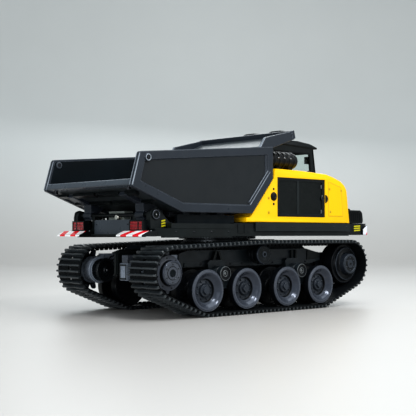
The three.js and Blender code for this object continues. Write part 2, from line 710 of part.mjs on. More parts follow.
for (const sign of [-1, 1]) {
  const y0 = sign < 0 ? -BED_HALF - 1.6 : BED_HALF - 0.5;
  tub = join(tub, rodY(-189.5, 184, y0, y0 + 2.1, 3, 14));
}
place(bed, 'dump_bed', geometryOf(tub), 'bed');

// ---------------------------------------------------------------- hoist

const dx = HOIST_B[0] - HOIST_A[0];
const dz = HOIST_B[1] - HOIST_A[1];
const LENGTH = Math.hypot(dx, dz);
const TILT = Math.atan2(dz, dx);
const hoist = new THREE.Group();
hoist.position.set(HOIST_A[0], 0, HOIST_A[1]);
hoist.rotation.y = -TILT;
upper.add(hoist);

const BARREL_R = 6;
const ROD_R = 3;
const barrel = cut(
  join(
    rodX(0, 0, 4, LENGTH - 20, BARREL_R, 18),
    rodY(0, 0, -7.4, 7.4, 5, 16),
    rodY(0, 0, -7.8, 7.8, 3, 12),
  ),
  rodX(0, 0, 14, LENGTH, ROD_R + GAP, 18),
);
place(hoist, 'hoist_barrel', geometryOf(barrel), 'steel');
place(hoist, 'hoist_rod', geometryOf(join(
  rodX(0, 0, 15, LENGTH, ROD_R, 16),
  rodY(LENGTH, 0, -7.4, 7.4, 4.2, 16),
)), 'steel');

export default machine;
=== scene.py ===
import json
import math

import bmesh
import bpy
from mathutils import Euler, Matrix, Vector
from mathutils.geometry import tessellate_polygon


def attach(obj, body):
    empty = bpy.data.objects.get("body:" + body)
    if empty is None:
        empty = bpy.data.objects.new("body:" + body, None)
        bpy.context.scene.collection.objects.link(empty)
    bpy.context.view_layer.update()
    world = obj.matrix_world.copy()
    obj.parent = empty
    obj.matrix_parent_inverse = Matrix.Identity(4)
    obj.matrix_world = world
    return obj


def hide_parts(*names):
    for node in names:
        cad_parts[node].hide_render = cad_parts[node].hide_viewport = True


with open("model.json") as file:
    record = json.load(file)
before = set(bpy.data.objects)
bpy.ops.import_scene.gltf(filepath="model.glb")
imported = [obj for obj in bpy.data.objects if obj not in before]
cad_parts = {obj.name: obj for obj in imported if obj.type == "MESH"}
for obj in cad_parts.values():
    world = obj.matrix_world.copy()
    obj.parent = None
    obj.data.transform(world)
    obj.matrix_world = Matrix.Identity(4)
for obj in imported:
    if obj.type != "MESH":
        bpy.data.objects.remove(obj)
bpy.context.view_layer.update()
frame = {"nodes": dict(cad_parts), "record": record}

MM = 0.001
SIDES = (("right", -1), ("left", 1))
TAU = 2 * math.pi
# axles and pins as (x, z), in millimetres
SPROCKET, IDLER, CARRIER = (-156.5, 53), (163.5, 56.75), (0, 72)
BOGIE_X, BOGIE_Z, AXLE_X = 68.875, 50, 32.625
WHEEL_X = (-BOGIE_X - AXLE_X, AXLE_X - BOGIE_X, BOGIE_X - AXLE_X, BOGIE_X + AXLE_X)
WHEEL_Z = 31
BED_HINGE, HOIST_FOOT, HOIST_EYE = (-168, 120), (-138, 101.5), (-46, 114.4)


# ------------------------------------------------------------------ mesh building, in millimetres
class Piece:
    """One visible piece: closed shells gathered into one mesh.

    y is multiplied by side. slot is the place, in done()'s looks, of what the next shells are made of.
    """

    def __init__(self, name, side=1):
        self.name = name
        self.side = side
        self.bm = bmesh.new()
        self.slot = 0

    def shell(self, verts, faces, slots=None):
        made = [self.bm.verts.new((x * MM, y * MM * self.side, z * MM)) for x, y, z in verts]
        for i, face in enumerate(faces):
            self.bm.faces.new([made[k] for k in face]).material_index = slots[i] if slots else self.slot

    def prism(self, axis, points, lo, hi, hi_points=None):
        """A polygon pulled along an axis: (y, z) for x, (x, z) for y, (x, y) for z."""
        n = len(points)
        verts = [along(axis, u, v, lo) for u, v in points]
        verts += [along(axis, u, v, hi) for u, v in (hi_points or points)]
        faces = [tuple(range(n)), tuple(range(2 * n - 1, n - 1, -1))]
        faces += [(i, i + n, (i + 1) % n + n, (i + 1) % n) for i in range(n)]
        self.shell(verts, faces)

    def box(self, x0, x1, y0, y1, z0, z1):
        self.prism("z", rect(x0, x1, *sorted((y0, y1))), z0, z1)

    def loft(self, rings, closed=False):
        """Rings of points joined one to the next; capped at both ends unless closed."""
        n = len(rings[0])
        verts = [p for ring in rings for p in ring]
        faces = []
        m = len(rings)
        for k in range(m if closed else m - 1):
            a, b = k * n, ((k + 1) % m) * n
            faces += [(a + i, b + i, b + (i + 1) % n, a + (i + 1) % n) for i in range(n)]
        if not closed:
            faces += [tuple(range(n)), tuple(range(m * n - 1, (m - 1) * n - 1, -1))]
        self.shell(verts, faces)

    def swell(self, axis, points, steps):
        """A loft along an axis of an outline moved inwards: steps are (height, distance)."""
        self.loft([[along(axis, u, v, w) for u, v in inset(points, d)] for w, d in steps])

    def turn(self, axis, centre, profile, segments=48, phase=0.0):
        """A (radius, height) profile turned about an axis; a third number is the slot of its next band."""
        verts, rows = [], []
        for r, h, *_ in profile:
            if r < 1e-6:
                rows.append([len(verts)] * segments)
                verts.append(along(axis, centre[0], centre[1], h))
                continue
            row = []
            for k in range(segments):
                a = TAU * k / segments + phase
                row.append(len(verts))
                verts.append(along(axis, *polar(centre, r, a), h))
            rows.append(row)
        pairs = list(zip(rows, rows[1:]))
        if profile[0][0] > 1e-6:
            pairs.append((rows[-1], rows[0]))
        faces, slots = [], []
        for i, (low, high) in enumerate(pairs):
            for k in range(segments):
                quad = [low[k], low[(k + 1) % segments], high[(k + 1) % segments], high[k]]
                face = tuple(dict.fromkeys(quad))
                if len(face) > 2:
                    faces.append(face)
                    slots.append(profile[i][2] if len(profile[i]) > 2 else self.slot)
        self.shell(verts, faces, slots)

    def frame(self, axis, outer, hole, lo, hi):
        """A plate with a hole; outer and hole have the same number of points, paired up."""
        rings = [[along(axis, u, v, w) for u, v in points] for points, w in ((outer, lo), (outer, hi),
            (hole, hi), (hole, lo))]
        self.loft(rings, True)

    def pocketed(self, axis, rings, hole, depth):
        """A loft of (points, height) rings whose last face has a pocket, hole, down to depth."""
        count, top = len(rings[0][0]), rings[-1][1]
        verts = [along(axis, u, v, w) for points, w in rings for u, v in points]
        last, pocket = len(verts) - count, len(verts)
        verts += [along(axis, u, v, w) for w in (top, depth) for u, v in hole]
        faces = [tuple(range(count))]
        for k in range(len(rings) - 1):
            a, b = k * count, (k + 1) * count
            faces += [(a + i, b + i, b + (i + 1) % count, a + (i + 1) % count) for i in range(count)]
        flat = tessellate_polygon([[Vector((u, v, 0)) for u, v in loop] for loop in (rings[-1][0], hole)])
        faces += [tuple(last + i if i < count else pocket + i - count for i in face) for face in flat]
        n = len(hole)
        faces += [(pocket + i, pocket + (i + 1) % n, pocket + n + (i + 1) % n,
            pocket + n + i) for i in range(n)]
        faces.append(tuple(pocket + n + i for i in range(n)))
        self.shell(verts, faces)

    def spin(self, axis, pivot, degrees):
        """Turns everything made so far about an axis through pivot, both in the unmirrored frame."""
        bmesh.ops.rotate(self.bm, verts=self.bm.verts, cent=Vector(pivot) * MM,
            matrix=Matrix.Rotation(math.radians(degrees), 3, axis.upper()))

    def rod(self, axis, centre, lo, hi, r, segments=32, chamfer=0.4):
        c = min(chamfer, r * 0.45, abs(hi - lo) * 0.45)
        self.turn(axis, centre, [(0, lo), (r - c, lo), (r, lo + c), (r, hi - c), (r - c, hi),
            (0, hi)], segments)

    def pipe(self, path, r, sides=14, smooth=5):
        """A round hose through the given points."""
        pts = spline([Vector(p) for p in path], smooth)
        rings, up = [], None
        for i, p in enumerate(pts):
            t = (pts[min(i + 1, len(pts) - 1)] - pts[max(i - 1, 0)]).normalized()
            if up is None:
                up = t.orthogonal().normalized()
            up = (up - t * up.dot(t)).normalized()
            w = t.cross(up)
            turns = [TAU * k / sides for k in range(sides)]
            rings.append([tuple(p + up * (r * math.cos(a)) + w * (r * math.sin(a))) for a in turns])
        self.loft(rings)

    def bolt(self, axis, centre, at, out, r=1.6, h=1.1, kind="hex"):
        """A screw head standing out of a face at height `at` along `out` (+1 or -1)."""
        top = at + out * h
        base = at - out * 0.3
        if kind == "hex":
            self.turn(axis, centre, [(0, base), (r * 1.3, base), (r * 1.3, at + out * 0.25),
                (r, at + out * 0.3), (r, top - out * 0.2), (r * 0.85, top), (0, top)], 6, 0.3)
        elif kind == "socket":
            self.turn(axis, centre, [(0, base), (r, base), (r, top - out * 0.25), (r * 0.86, top),
                (r * 0.5, top), (r * 0.46, top - out * h * 0.6), (0, top - out * h * 0.6)], 20)
        else:
            self.turn(axis, centre, [(0, base), (r, base), (r * 0.95, at + out * h * 0.35),
                (r * 0.7, at + out * h * 0.8), (r * 0.35, top), (0, top)], 20)

    def bolts(self, axis, centre, radius, count, phase, *bolt):
        """A circle of screw heads."""
        for k in range(count):
            self.bolt(axis, polar(centre, radius, TAU * (k + phase) / count), *bolt)

    def teeth(self, axis, centre, count, phase, tooth, lo, hi):
        """Prisms round an axis; tooth is an outline of (radius, sideways) points."""
        for k in range(count):
            a = TAU * (k + phase) / count
            points = [(centre[0] + r * math.cos(a) - s * math.sin(a),
                centre[1] + r * math.sin(a) + s * math.cos(a)) for r, s in tooth]
            self.prism(axis, points, lo, hi)

    def done(self, body, looks, bevel, replaces, angle=32, segments=2):
        """Makes the object, with one material slot for each name in looks, on the given body."""
        bmesh.ops.recalc_face_normals(self.bm, faces=self.bm.faces)
        mesh = bpy.data.meshes.new(self.name)
        for edge in self.bm.edges:
            edge.smooth = len(edge.link_faces) == 2 and edge.calc_face_angle(0) < math.radians(angle)
        for face in self.bm.faces:
            face.smooth = True
        self.bm.to_mesh(mesh)
        self.bm.free()
        obj = bpy.data.objects.new(self.name, mesh)
        bpy.context.scene.collection.objects.link(obj)
        for look in looks.split():
            mesh.materials.append(MAT[look])
        mod = obj.modifiers.new("edges", "BEVEL")
        mod.width = bevel * MM
        mod.segments = segments
        mod.limit_method = "ANGLE"
        mod.angle_limit = math.radians(angle)
        mod.harden_normals = True
        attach(obj, body)
        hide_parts(replaces)


def along(axis, u, v, w):
    """The point at (u, v) in the plane across an axis and w along it."""
    if axis == "x":
        return (w, u, v)
    if axis == "y":
        return (u, w, v)
    return (u, v, w)


def polar(centre, radius, angle):
    return (centre[0] + radius * math.cos(angle), centre[1] + radius * math.sin(angle))


def rect(u0, u1, v0, v1):
    return [(u0, v0), (u1, v0), (u1, v1), (u0, v1)]


def spline(points, steps):
    """A smooth curve through the points, with steps to each span."""
    if steps < 2 or len(points) < 3:
        return points
    out = []
    for i in range(len(points) - 1):
        p0 = points[max(i - 1, 0)]
        p1, p2 = points[i], points[i + 1]
        p3 = points[min(i + 2, len(points) - 1)]
        for k in range(steps):
            t = k / steps
            square, cube = 2 * p0 - 5 * p1 + 4 * p2 - p3, 3 * p1 - p0 - 3 * p2 + p3
            out.append(0.5 * ((2 * p1) + (p2 - p0) * t + square * t * t + cube * t ** 3))
    out.append(points[-1])
    return out


def inset(points, distance):
    """A polygon moved inwards along its corner bisectors, whichever way its points run."""
    n = len(points)
    area = sum(points[i][0] * points[(i + 1) % n][1] - points[(i + 1) % n][0] * points[i][1]
        for i in range(n))
    turn = 1 if area > 0 else -1
    out = []
    for i, (x, y) in enumerate(points):
        a = Vector((x - points[i - 1][0], y - points[i - 1][1])).normalized()
        b = Vector((points[(i + 1) % n][0] - x, points[(i + 1) % n][1] - y)).normalized()
        na, nb = Vector((-a.y, a.x)) * turn, Vector((-b.y, b.x)) * turn
        bis = (na + nb).normalized()
        k = distance / max(0.35, bis.dot(na))
        out.append((x + bis.x * k, y + bis.y * k))
    return out


def rounded(points, radius, steps=4):
    """A polygon with its corners rounded; radius is one number or one per corner."""
    n = len(points)
    radii = radius if isinstance(radius, (list, tuple)) else [radius] * n
    out = []
    for i in range(n):
        p = Vector(points[i])
        a, b = Vector(points[i - 1]), Vector(points[(i + 1) % n])
        if radii[i] <= 0:
            out.append(tuple(p))
            continue
        da, db = (a - p), (b - p)
        half = da.angle(db) / 2
        cut = min(radii[i] / math.tan(half), da.length * 0.45, db.length * 0.45)
        start, end = p + da.normalized() * cut, p + db.normalized() * cut
        for k in range(steps + 1):
            t = k / steps
            out.append(tuple((1 - t) ** 2 * start + 2 * t * (1 - t) * p + t * t * end))
    return out


# ------------------------------------------------------------------ materials
class Nodes:
    """A material's node tree around its Principled shader."""

    def __init__(self, name):
        self.material = bpy.data.materials.new(name)
        self.material.use_nodes = True
        self.tree = self.material.node_tree
        self.bsdf = self.tree.nodes["Principled BSDF"]
        self.coord = self.add("ShaderNodeTexCoord").outputs["Object"]

    def feed(self, socket, value):
        """Links an input to another node's output, or gives it a plain value."""
        if isinstance(value, bpy.types.NodeSocket):
            self.tree.links.new(value, socket)
        elif socket.type == "RGBA":
            socket.default_value = (*value, 1)
        else:
            socket.default_value = value

    def add(self, kind, inputs=None, **settings):
        node = self.tree.nodes.new(kind)
        for key, value in settings.items():
            setattr(node, key, value)
        for key, value in (inputs or {}).items():
            self.feed(node.inputs[key], value)
        return node

    def shade(self, **inputs):
        """Feeds the shader's inputs by name, with _ for a space."""
        for key, value in inputs.items():
            self.feed(self.bsdf.inputs[key.replace("_", " ")], value)

    def noise(self, scale, detail=4):
        inputs = {"Vector": self.coord, "Scale": scale, "Detail": detail, "Roughness": 0.55}
        return self.add("ShaderNodeTexNoise", inputs).outputs["Fac"]

    def ramp(self, value, low, high, lo=0, hi=1):
        inputs = {"Value": value, "From Min": low, "From Max": high, "To Min": lo, "To Max": hi}
        return self.add("ShaderNodeMapRange", inputs).outputs["Result"]

    def patches(self, scale, detail, a, b, low=0.3, high=0.7):
        """Noise that runs between two colours or two numbers."""
        if isinstance(a, tuple):
            return self.mix(self.ramp(self.noise(scale, detail), low, high), a, b)
        return self.ramp(self.noise(scale, detail), low, high, a, b)

    def mix(self, factor, a, b):
        return self.add("ShaderNodeMix", {0: factor, 6: a, 7: b}, data_type="RGBA").outputs[2]

    def math(self, kind, a, b=0):
        return self.add("ShaderNodeMath", {0: a, 1: b}, operation=kind).outputs[0]

    def edge(self, radius, gain):
        """About 1 on sharp edges and 0 on flats."""
        bevel = self.add("ShaderNodeBevel", {"Radius": radius}, samples=4).outputs["Normal"]
        flat = self.add("ShaderNodeNewGeometry").outputs["Normal"]
        dot = self.add("ShaderNodeVectorMath", {0: bevel, 1: flat}, operation="DOT_PRODUCT")
        return self.ramp(dot.outputs["Value"], 1, 1 - 1 / gain)

    def bump(self, height, depth):
        """Relief of depth millimetres."""
        node = self.add("ShaderNodeBump", {"Height": height, "Distance": depth * MM})
        self.shade(Normal=node.outputs["Normal"])

    def position(self):
        return self.add("ShaderNodeSeparateXYZ", {0: self.coord}).outputs


MAT = {}


def surface(name, color, rough, metal=0, grain=2600, depth=0.04, shade=0.25, patch=45, rough_var=0.12,
        coat=0, wear_and_highlight=None, spec=0.3):
    """Paint or moulded plastic: uneven tone, uneven gloss, a fine grain, and lighter edges, partly wear and
    partly painted highlight.

    depth is the grain's height in millimetres; the lighter edges, wear and painted highlight, are given as
    (colour, strength, edge radius in metres).
    """
    n = Nodes(name)
    dark = tuple(c * (1 - shade) for c in color)
    light = tuple(min(1, c * (1 + shade)) for c in color)
    tone = n.patches(patch, 5, dark, light, 0.35, 0.65)
    # lighter edges: partly wear, partly painted highlight
    if wear_and_highlight:
        edge_tint, strength, radius = wear_and_highlight
        mask = n.math("MULTIPLY", n.edge(radius, 4), n.patches(420, 4, 0.25, strength, 0.38, 0.6))
        tone = n.mix(mask, tone, edge_tint)
    gloss = n.patches(patch * 4, 5, rough - rough_var, rough + rough_var)
    n.shade(Base_Color=tone, Roughness=gloss, Metallic=metal, Specular_IOR_Level=spec, Coat_Weight=coat,
        Coat_Roughness=0.08)
    n.bump(n.noise(grain, 3), depth)
    MAT[name] = n.material


def rubber(name):
    """Belt rubber with lighter edges, partly dust and partly painted highlight."""
    n = Nodes(name)
    tone = n.patches(60, 6, (0.0165, 0.021, 0.0245), (0.032, 0.0385, 0.043), 0.35, 0.7)
    dust_and_highlight = n.math("MULTIPLY", n.edge(0.0007, 3), n.patches(300, 5, 0.2, 0.8, 0.35, 0.65))
    n.shade(Base_Color=n.mix(dust_and_highlight, tone, (0.16, 0.18, 0.19)), Roughness=n.patches(180, 4, 0.24, 0.42))
    n.bump(n.noise(1800, 4), 0.05)
    MAT[name] = n.material


def metal(name, color, rough, across=1):
    """Machined steel with fine turning lines across the given object axis."""
    n = Nodes(name)
    scale = [40, 40, 40]
    scale[across] = 4000
    stretch = n.add("ShaderNodeMapping", {"Vector": n.coord, "Scale": scale}).outputs["Vector"]
    lines = n.add("ShaderNodeTexNoise", {"Vector": stretch, "Scale": 1, "Detail": 3}).outputs["Fac"]
    gloss = n.ramp(lines, 0.3, 0.7, rough * 0.7, rough * 1.3)
    n.shade(Base_Color=n.mix(lines, tuple(c * 0.8 for c in color), color), Roughness=gloss, Metallic=1)
    n.bump(lines, 0.01)
    MAT[name] = n.material


def chevrons(name, lean):
    """Reflective sheet: white with slanted red bars, a faint cube-corner pattern, and a painted glow of its
    own colour for the light it reflects back.
    """
    n = Nodes(name)
    place = n.position()
    slant = n.math("ADD", place["Y"], n.math("MULTIPLY", place["X"], lean))
    phase = n.math("FRACT", n.math("DIVIDE", slant, 0.0225))
    bar = n.ramp(n.math("ABSOLUTE", n.math("SUBTRACT", phase, 0.5)), 0.25, 0.262)
    white = n.patches(90, 4, (0.72, 0.73, 0.74), (0.84, 0.85, 0.86))
    red = n.patches(90, 4, (0.62, 0.008, 0.016), (0.74, 0.012, 0.024))
    sheet = n.mix(bar, white, red)
    # the emission is a painted glow standing in for the light the sheet reflects back
    n.shade(Base_Color=sheet, Emission_Color=sheet, Emission_Strength=0.3,
        Roughness=n.patches(260, 3, 0.16, 0.3))
    cells = n.add("ShaderNodeTexVoronoi", {"Vector": n.coord, "Scale": 1400})
    n.bump(cells.outputs["Distance"], 0.02)
    MAT[name] = n.material


def clear(name, color, rough, weight):
    """A coloured lens, with a little haze and grain."""
    n = Nodes(name)
    n.shade(Base_Color=n.patches(40, 3, tuple(c * 0.92 for c in color), color), Transmission_Weight=weight,
        Roughness=n.patches(70, 4, rough * 0.6, rough * 1.4), IOR=1.45)
    MAT[name] = n.material


def perforated(name):
    """Black perforated sheet: small round holes in a staggered grid, in the plane of the hood side."""
    n = Nodes(name)
    place = n.position()
    pitch, row = 0.0012, 0.866
    u = n.math("DIVIDE", place["X"], pitch)
    v = n.math("DIVIDE", place["Z"], pitch * row)
    shift = n.math("MULTIPLY", n.math("MODULO", n.math("FLOOR", v), 2), 0.5)
    du = n.math("SUBTRACT", n.math("FRACT", n.math("ADD", u, shift)), 0.5)
    dv = n.math("MULTIPLY", n.math("SUBTRACT", n.math("FRACT", v), 0.5), row)
    d = n.math("SQRT", n.math("ADD", n.math("MULTIPLY", du, du), n.math("MULTIPLY", dv, dv)))
    sheet = n.patches(60, 4, (0.0058, 0.0085, 0.0086), (0.0088, 0.0122, 0.0124), 0.35, 0.65)
    n.shade(Base_Color=n.mix(n.ramp(d, 0.34, 0.27), sheet, (0.0012, 0.0018, 0.002)),
        Specular_IOR_Level=0.15, Roughness=n.patches(200, 4, 0.38, 0.55))
    n.bump(n.ramp(d, 0.26, 0.36), 0.1)
    MAT[name] = n.material


def pane(name):
    """Thin clear window glass: mostly see-through, with a faint smear in its gloss."""
    n = Nodes(name)
    n.shade(Base_Color=n.mix(n.noise(30, 3), (0.02, 0.022, 0.022), (0.03, 0.032, 0.032)),
        Roughness=n.patches(60, 4, 0.03, 0.09))
    through = n.add("ShaderNodeBsdfTransparent", {"Color": (0.93, 0.96, 0.95)}).outputs[0]
    facing = n.add("ShaderNodeLayerWeight", {"Blend": 0.25}).outputs["Facing"]
    blend = n.add("ShaderNodeMixShader", {0: n.ramp(facing, 0.3, 1, 0.03, 0.5), 1: through,
        2: n.bsdf.outputs[0]})
    n.feed(n.tree.nodes["Material Output"].inputs["Surface"], blend.outputs[0])
    MAT[name] = n.material


# one statement each: name, colour, roughness, then whatever differs from the default look
rubber("rubber")
# darker rubber; on the belt's carcass and guide horns it is painted shade between the lugs and on the inner
# face
surface("rubber_in", (0.0042, 0.0055, 0.0068), 0.6, grain=1500, depth=0.05, shade=0.25, spec=0.12)
surface("wheel", (0.052, 0.06, 0.078), 0.34, grain=1500, depth=0.03, shade=0.1,
    wear_and_highlight=((0.2, 0.22, 0.25), 0.8, 0.0006))
surface("wheel_dish", (0.05, 0.058, 0.076), 0.2, metal=0.4, grain=1500, depth=0.012, shade=0.08,
    rough_var=0.03, wear_and_highlight=((0.22, 0.24, 0.27), 0.8, 0.0006))
surface("drum", (0.062, 0.07, 0.086), 0.28, metal=0.3, grain=1500, depth=0.02, shade=0.12,
    wear_and_highlight=((0.24, 0.26, 0.29), 0.8, 0.0006))
surface("hub", (0.024, 0.03, 0.04), 0.28, metal=0.25, grain=1500, depth=0.02, shade=0.15,
    wear_and_highlight=((0.2, 0.22, 0.25), 0.9, 0.0005))
surface("wheel_sheen", (0.0055, 0.0075, 0.009), 0.3, metal=0.2, grain=1500, depth=0.02, shade=0.15,
    rough_var=0.06, spec=0.2, wear_and_highlight=((0.13, 0.15, 0.16), 0.8, 0.0005))
# darker copy of the wheel material; on the wheels' inner and side faces it is painted shade
surface("wheel_dark", (0.0038, 0.0052, 0.0072), 0.36, grain=1500, depth=0.03, shade=0.2, spec=0.2,
    wear_and_highlight=((0.04, 0.047, 0.056), 0.6, 0.0004))
surface("ring", (0.14, 0.152, 0.158), 0.28, metal=0.55, grain=1600, depth=0.02, shade=0.2)
surface("frame", (0.0155, 0.0215, 0.0265), 0.42, grain=1900, depth=0.04, shade=0.25, spec=0.25,
    wear_and_highlight=((0.08, 0.092, 0.1), 0.6, 0.0004))
surface("cast", (0.22, 0.25, 0.3), 0.3, metal=0.25, grain=900, depth=0.05, shade=0.15,
    wear_and_highlight=((0.34, 0.37, 0.41), 0.8, 0.0005))
surface("motor", (0.005, 0.0072, 0.0095), 0.28, metal=0.2, shade=0.3,
    wear_and_highlight=((0.09, 0.1, 0.115), 0.8, 0.0005))
surface("bed", (0.0185, 0.0242, 0.033), 0.38, grain=2100, depth=0.02, shade=0.08, patch=25, spec=0.25,
    wear_and_highlight=((0.2, 0.22, 0.26), 0.9, 0.0007))
surface("bed_panel", (0.0135, 0.0165, 0.0192), 0.5, grain=2400, depth=0.03, shade=0.06, patch=12, spec=0.22,
    wear_and_highlight=((0.05, 0.055, 0.06), 0.5, 0.0004))
# darkest material; in the sprocket's hole and the strips under the bed it is painted shade
surface("bed_inside", (0.003, 0.006, 0.0085), 0.5, grain=1800, depth=0.03, shade=0.2, patch=20, spec=0.12)
surface("bed_slope", (0.03, 0.037, 0.041), 0.34, grain=1800, depth=0.004, shade=0.1, patch=30,
    rough_var=0.04, spec=0.4)
surface("bed_lip", (0.05, 0.062, 0.076), 0.34, grain=2100, depth=0.02, shade=0.08, patch=25,
    wear_and_highlight=((0.24, 0.26, 0.3), 0.8, 0.0006))
# light strips along the bed's edges: painted highlights
surface("bed_edge", (0.26, 0.29, 0.33), 0.3, metal=0.3, grain=1800, depth=0.01, shade=0.15, patch=60)
surface("white", (0.74, 0.76, 0.84), 0.3, grain=1400, depth=0.01, shade=0.04)
surface("red_paint", (0.6, 0.015, 0.025), 0.3, grain=1400, depth=0.01, shade=0.08)
surface("deck", (0.0062, 0.0092, 0.0098), 0.44, grain=2000, depth=0.04, shade=0.2, spec=0.2,
    wear_and_highlight=((0.04, 0.05, 0.052), 0.6, 0.0004))
surface("deck_light", (0.0112, 0.0152, 0.0162), 0.4, grain=2000, depth=0.03, shade=0.12, spec=0.2,
    wear_and_highlight=((0.06, 0.07, 0.074), 0.6, 0.0004))
surface("valve", (0.2, 0.222, 0.205), 0.45, grain=900, depth=0.06, shade=0.2, spec=0.3)
surface("black", (0.0035, 0.0055, 0.0062), 0.38, grain=2300, depth=0.03, shade=0.25, spec=0.2,
    wear_and_highlight=((0.035, 0.042, 0.046), 0.6, 0.0004))
surface("roof", (0.004, 0.0062, 0.007), 0.4, grain=2300, depth=0.03, shade=0.2, spec=0.2,
    wear_and_highlight=((0.04, 0.048, 0.052), 0.6, 0.0004))
surface("gloss", (0.0022, 0.003, 0.0035), 0.34, rough_var=0.04, grain=700, depth=0.006, spec=0.25)
surface("lemon", (0.52, 0.47, 0.01), 0.4, grain=900, depth=0.008, shade=0.05, spec=0.2)
surface("yellow", (0.94, 0.54, 0.0), 0.36, grain=900, depth=0.008, shade=0.02, patch=20,
    rough_var=0.05, spec=0.2)
surface("yellow_seam", (0.55, 0.34, 0.01), 0.4, grain=1200, depth=0.02, shade=0.1)
surface("grey_trim", (0.1, 0.105, 0.11), 0.4, grain=1200, depth=0.02, shade=0.15)
metal("steel", (0.56, 0.57, 0.58), 0.24)
metal("steel_dark", (0.06, 0.065, 0.07), 0.34, 2)
metal("chrome", (0.72, 0.73, 0.74), 0.1, 0)
metal("screw", (0.3, 0.31, 0.33), 0.28, 2)
metal("screw_dark", (0.035, 0.037, 0.042), 0.34, 2)
metal("nickel", (0.62, 0.6, 0.54), 0.2, 0)
clear("red", (0.32, 0.004, 0.01), 0.2, 0.1)
clear("amber", (0.85, 0.28, 0.02), 0.14, 0.4)
pane("glass")
surface("screen", (0.006, 0.008, 0.01), 0.1, grain=700, depth=0.004, coat=0.8, rough_var=0.03)
surface("seat", (0.012, 0.012, 0.013), 0.55, grain=1300, depth=0.12, shade=0.25)
perforated("grille")
chevrons("stripe_right", 0.55)
chevrons("stripe_left", -0.55)
surface("engine", (0.05, 0.055, 0.06), 0.45, metal=0.4, grain=1000, depth=0.08, shade=0.3)
surface("hose", (0.008, 0.008, 0.009), 0.5, grain=1500, depth=0.05, shade=0.2)


# the CAD nodes' own looks, by material slot
pick = {"chassis": "frame", "rubber_belt": "rubber", "cast_grey": "cast", "motor_black": "motor",
    "wheel_grey": "wheel", "black_steel": "black", "black_panel": "black", "gloss_black": "gloss",
    "marker": "stripe_right", "red_lens": "red"}
slots = {s["node"]: s["material_slot"] for s in frame["record"]["subparts"]}
for name, obj in frame["nodes"].items():
    obj.data.materials.clear()
    obj.data.materials.append(MAT[pick.get(slots[name], slots[name])])

# ------------------------------------------------------------------ track belts
# the belt's path: a place and a radius for each wheel that it bends round
BELT = [(WHEEL_X[0], WHEEL_Z, 25.9), (WHEEL_X[3], WHEEL_Z, 25.9), (*IDLER, 27.8),
    (*CARRIER, 12.8), (*SPROCKET, 26.4)]
CARCASS = 1.8       # thickness of the belt under its lugs
LUG = 3.3           # height of a lug
LUG_PAIR = 14       # length of belt for two lugs
PITCH_STEPS = 7     # stations along the belt for each lug
ARC_STEP = 0.04     # radians between points round a wheel


def belt_stations():
    """Points on the belt's outer face, seven to a lug pitch, each (x, z, outward x, outward z)."""
    n = len(BELT)
    turns = []   # angle at which the belt leaves each wheel for the next
    for i, (x, z, r) in enumerate(BELT):
        u, v, s = BELT[(i + 1) % n]
        turns.append(math.atan2(v - z, u - x) - math.acos((r - s) / math.hypot(u - x, v - z)))
    pts = []
    for i, (x, z, r) in enumerate(BELT):
        lo, hi = turns[i - 1], turns[i]
        while hi < lo - 1e-6:
            hi += TAU
        count = max(1, math.ceil((hi - lo) / ARC_STEP))
        for k in range(count + 1):
            a = lo + (hi - lo) * k / count
            pts.append((x + (r + CARCASS) * math.cos(a), z + (r + CARCASS) * math.sin(a)))
    spans = [math.dist(pts[i], pts[(i + 1) % len(pts)]) for i in range(len(pts))]
    lugs = 2 * round(sum(spans) / LUG_PAIR)
    out, i, passed = [], 0, 0
    for k in range(lugs * PITCH_STEPS):
        s = sum(spans) * k / (lugs * PITCH_STEPS)
        while i < len(pts) - 1 and passed + spans[i] <= s:
            passed += spans[i]
            i += 1
        (x, z), (u, v) = pts[i], pts[(i + 1) % len(pts)]
        t = (s - passed) / spans[i]
        out.append((x + (u - x) * t, z + (v - z) * t, (v - z) / spans[i], (x - u) / spans[i]))
    return out, lugs


STATIONS, LUGS = belt_stations()


def belt(side, sign):
    """Carcass bands with drive windows between them, cross lugs outside and guide horns inside."""
    p = Piece(f"{side}_belt", sign)

    def at(k, y, h, shift=0):
        x, z, nx, nz = STATIONS[k % len(STATIONS)]
        return (x + nx * h - nz * shift, y, z + nz * h + nx * shift)

    def band(section, first, last, closed=False):
        p.loft([[at(k, y, h) for y, h in section] for k in range(first,
            last + (0 if closed else 1))], closed)

    total = len(STATIONS)
    # carcass bands, bridges and guide horns in the darker rubber: painted shade between the lugs and on the
    # inner face
    p.slot = 1
    band([(49.5, -CARCASS), (68.8, -CARCASS), (68.8, 0), (50.1, 0), (49.5, -0.6)], 0, total, True)
    band([(75.2, -CARCASS), (97.6, -CARCASS), (97.6, -0.6), (97, 0), (75.2, 0)], 0, total, True)
    for j in range(0, LUGS, 2):
        k = j * PITCH_STEPS
        band(rect(68.8, 75.2, -CARCASS, 0), k + 5, k + 2 + 2 * PITCH_STEPS)
    for j in range(LUGS):
        k = j * PITCH_STEPS
        rings = []
        p.slot = 0
        for y, base, top, h in ((49.55, 1.6, 0.9, 2.4), (50.9, 1.7, 1, LUG), (66, 1.7, 1, LUG),
                (68.5, 1.6, 0.9, LUG - 0.7), (75.5, 1.6, 0.9, LUG - 0.7), (78, 1.7, 1, LUG),
                (96.3, 1.7, 1, LUG), (97.55, 1.6, 0.9, 2.4)):
            rings.append([at(k, y, -0.4, -base), at(k, y, -0.4, base), at(k, y, h, top), at(k, y, h, -top)])
        p.loft(rings)
        p.slot = 1
        rings = [[at(k, y, h - CARCASS, -s), at(k, y, h - CARCASS, s)]
            for y, h, s in ((65.6, 0.3, 2.9), (68.2, 0.3, 2.9), (67.7, -3.2, 2.2), (66, -3.2, 2.2))]
        p.loft([[r[i] for r in rings] for i in (0, 1)])
    p.done("undercarriage", "rubber rubber_in", 0.22, f"{side}_track_belt")


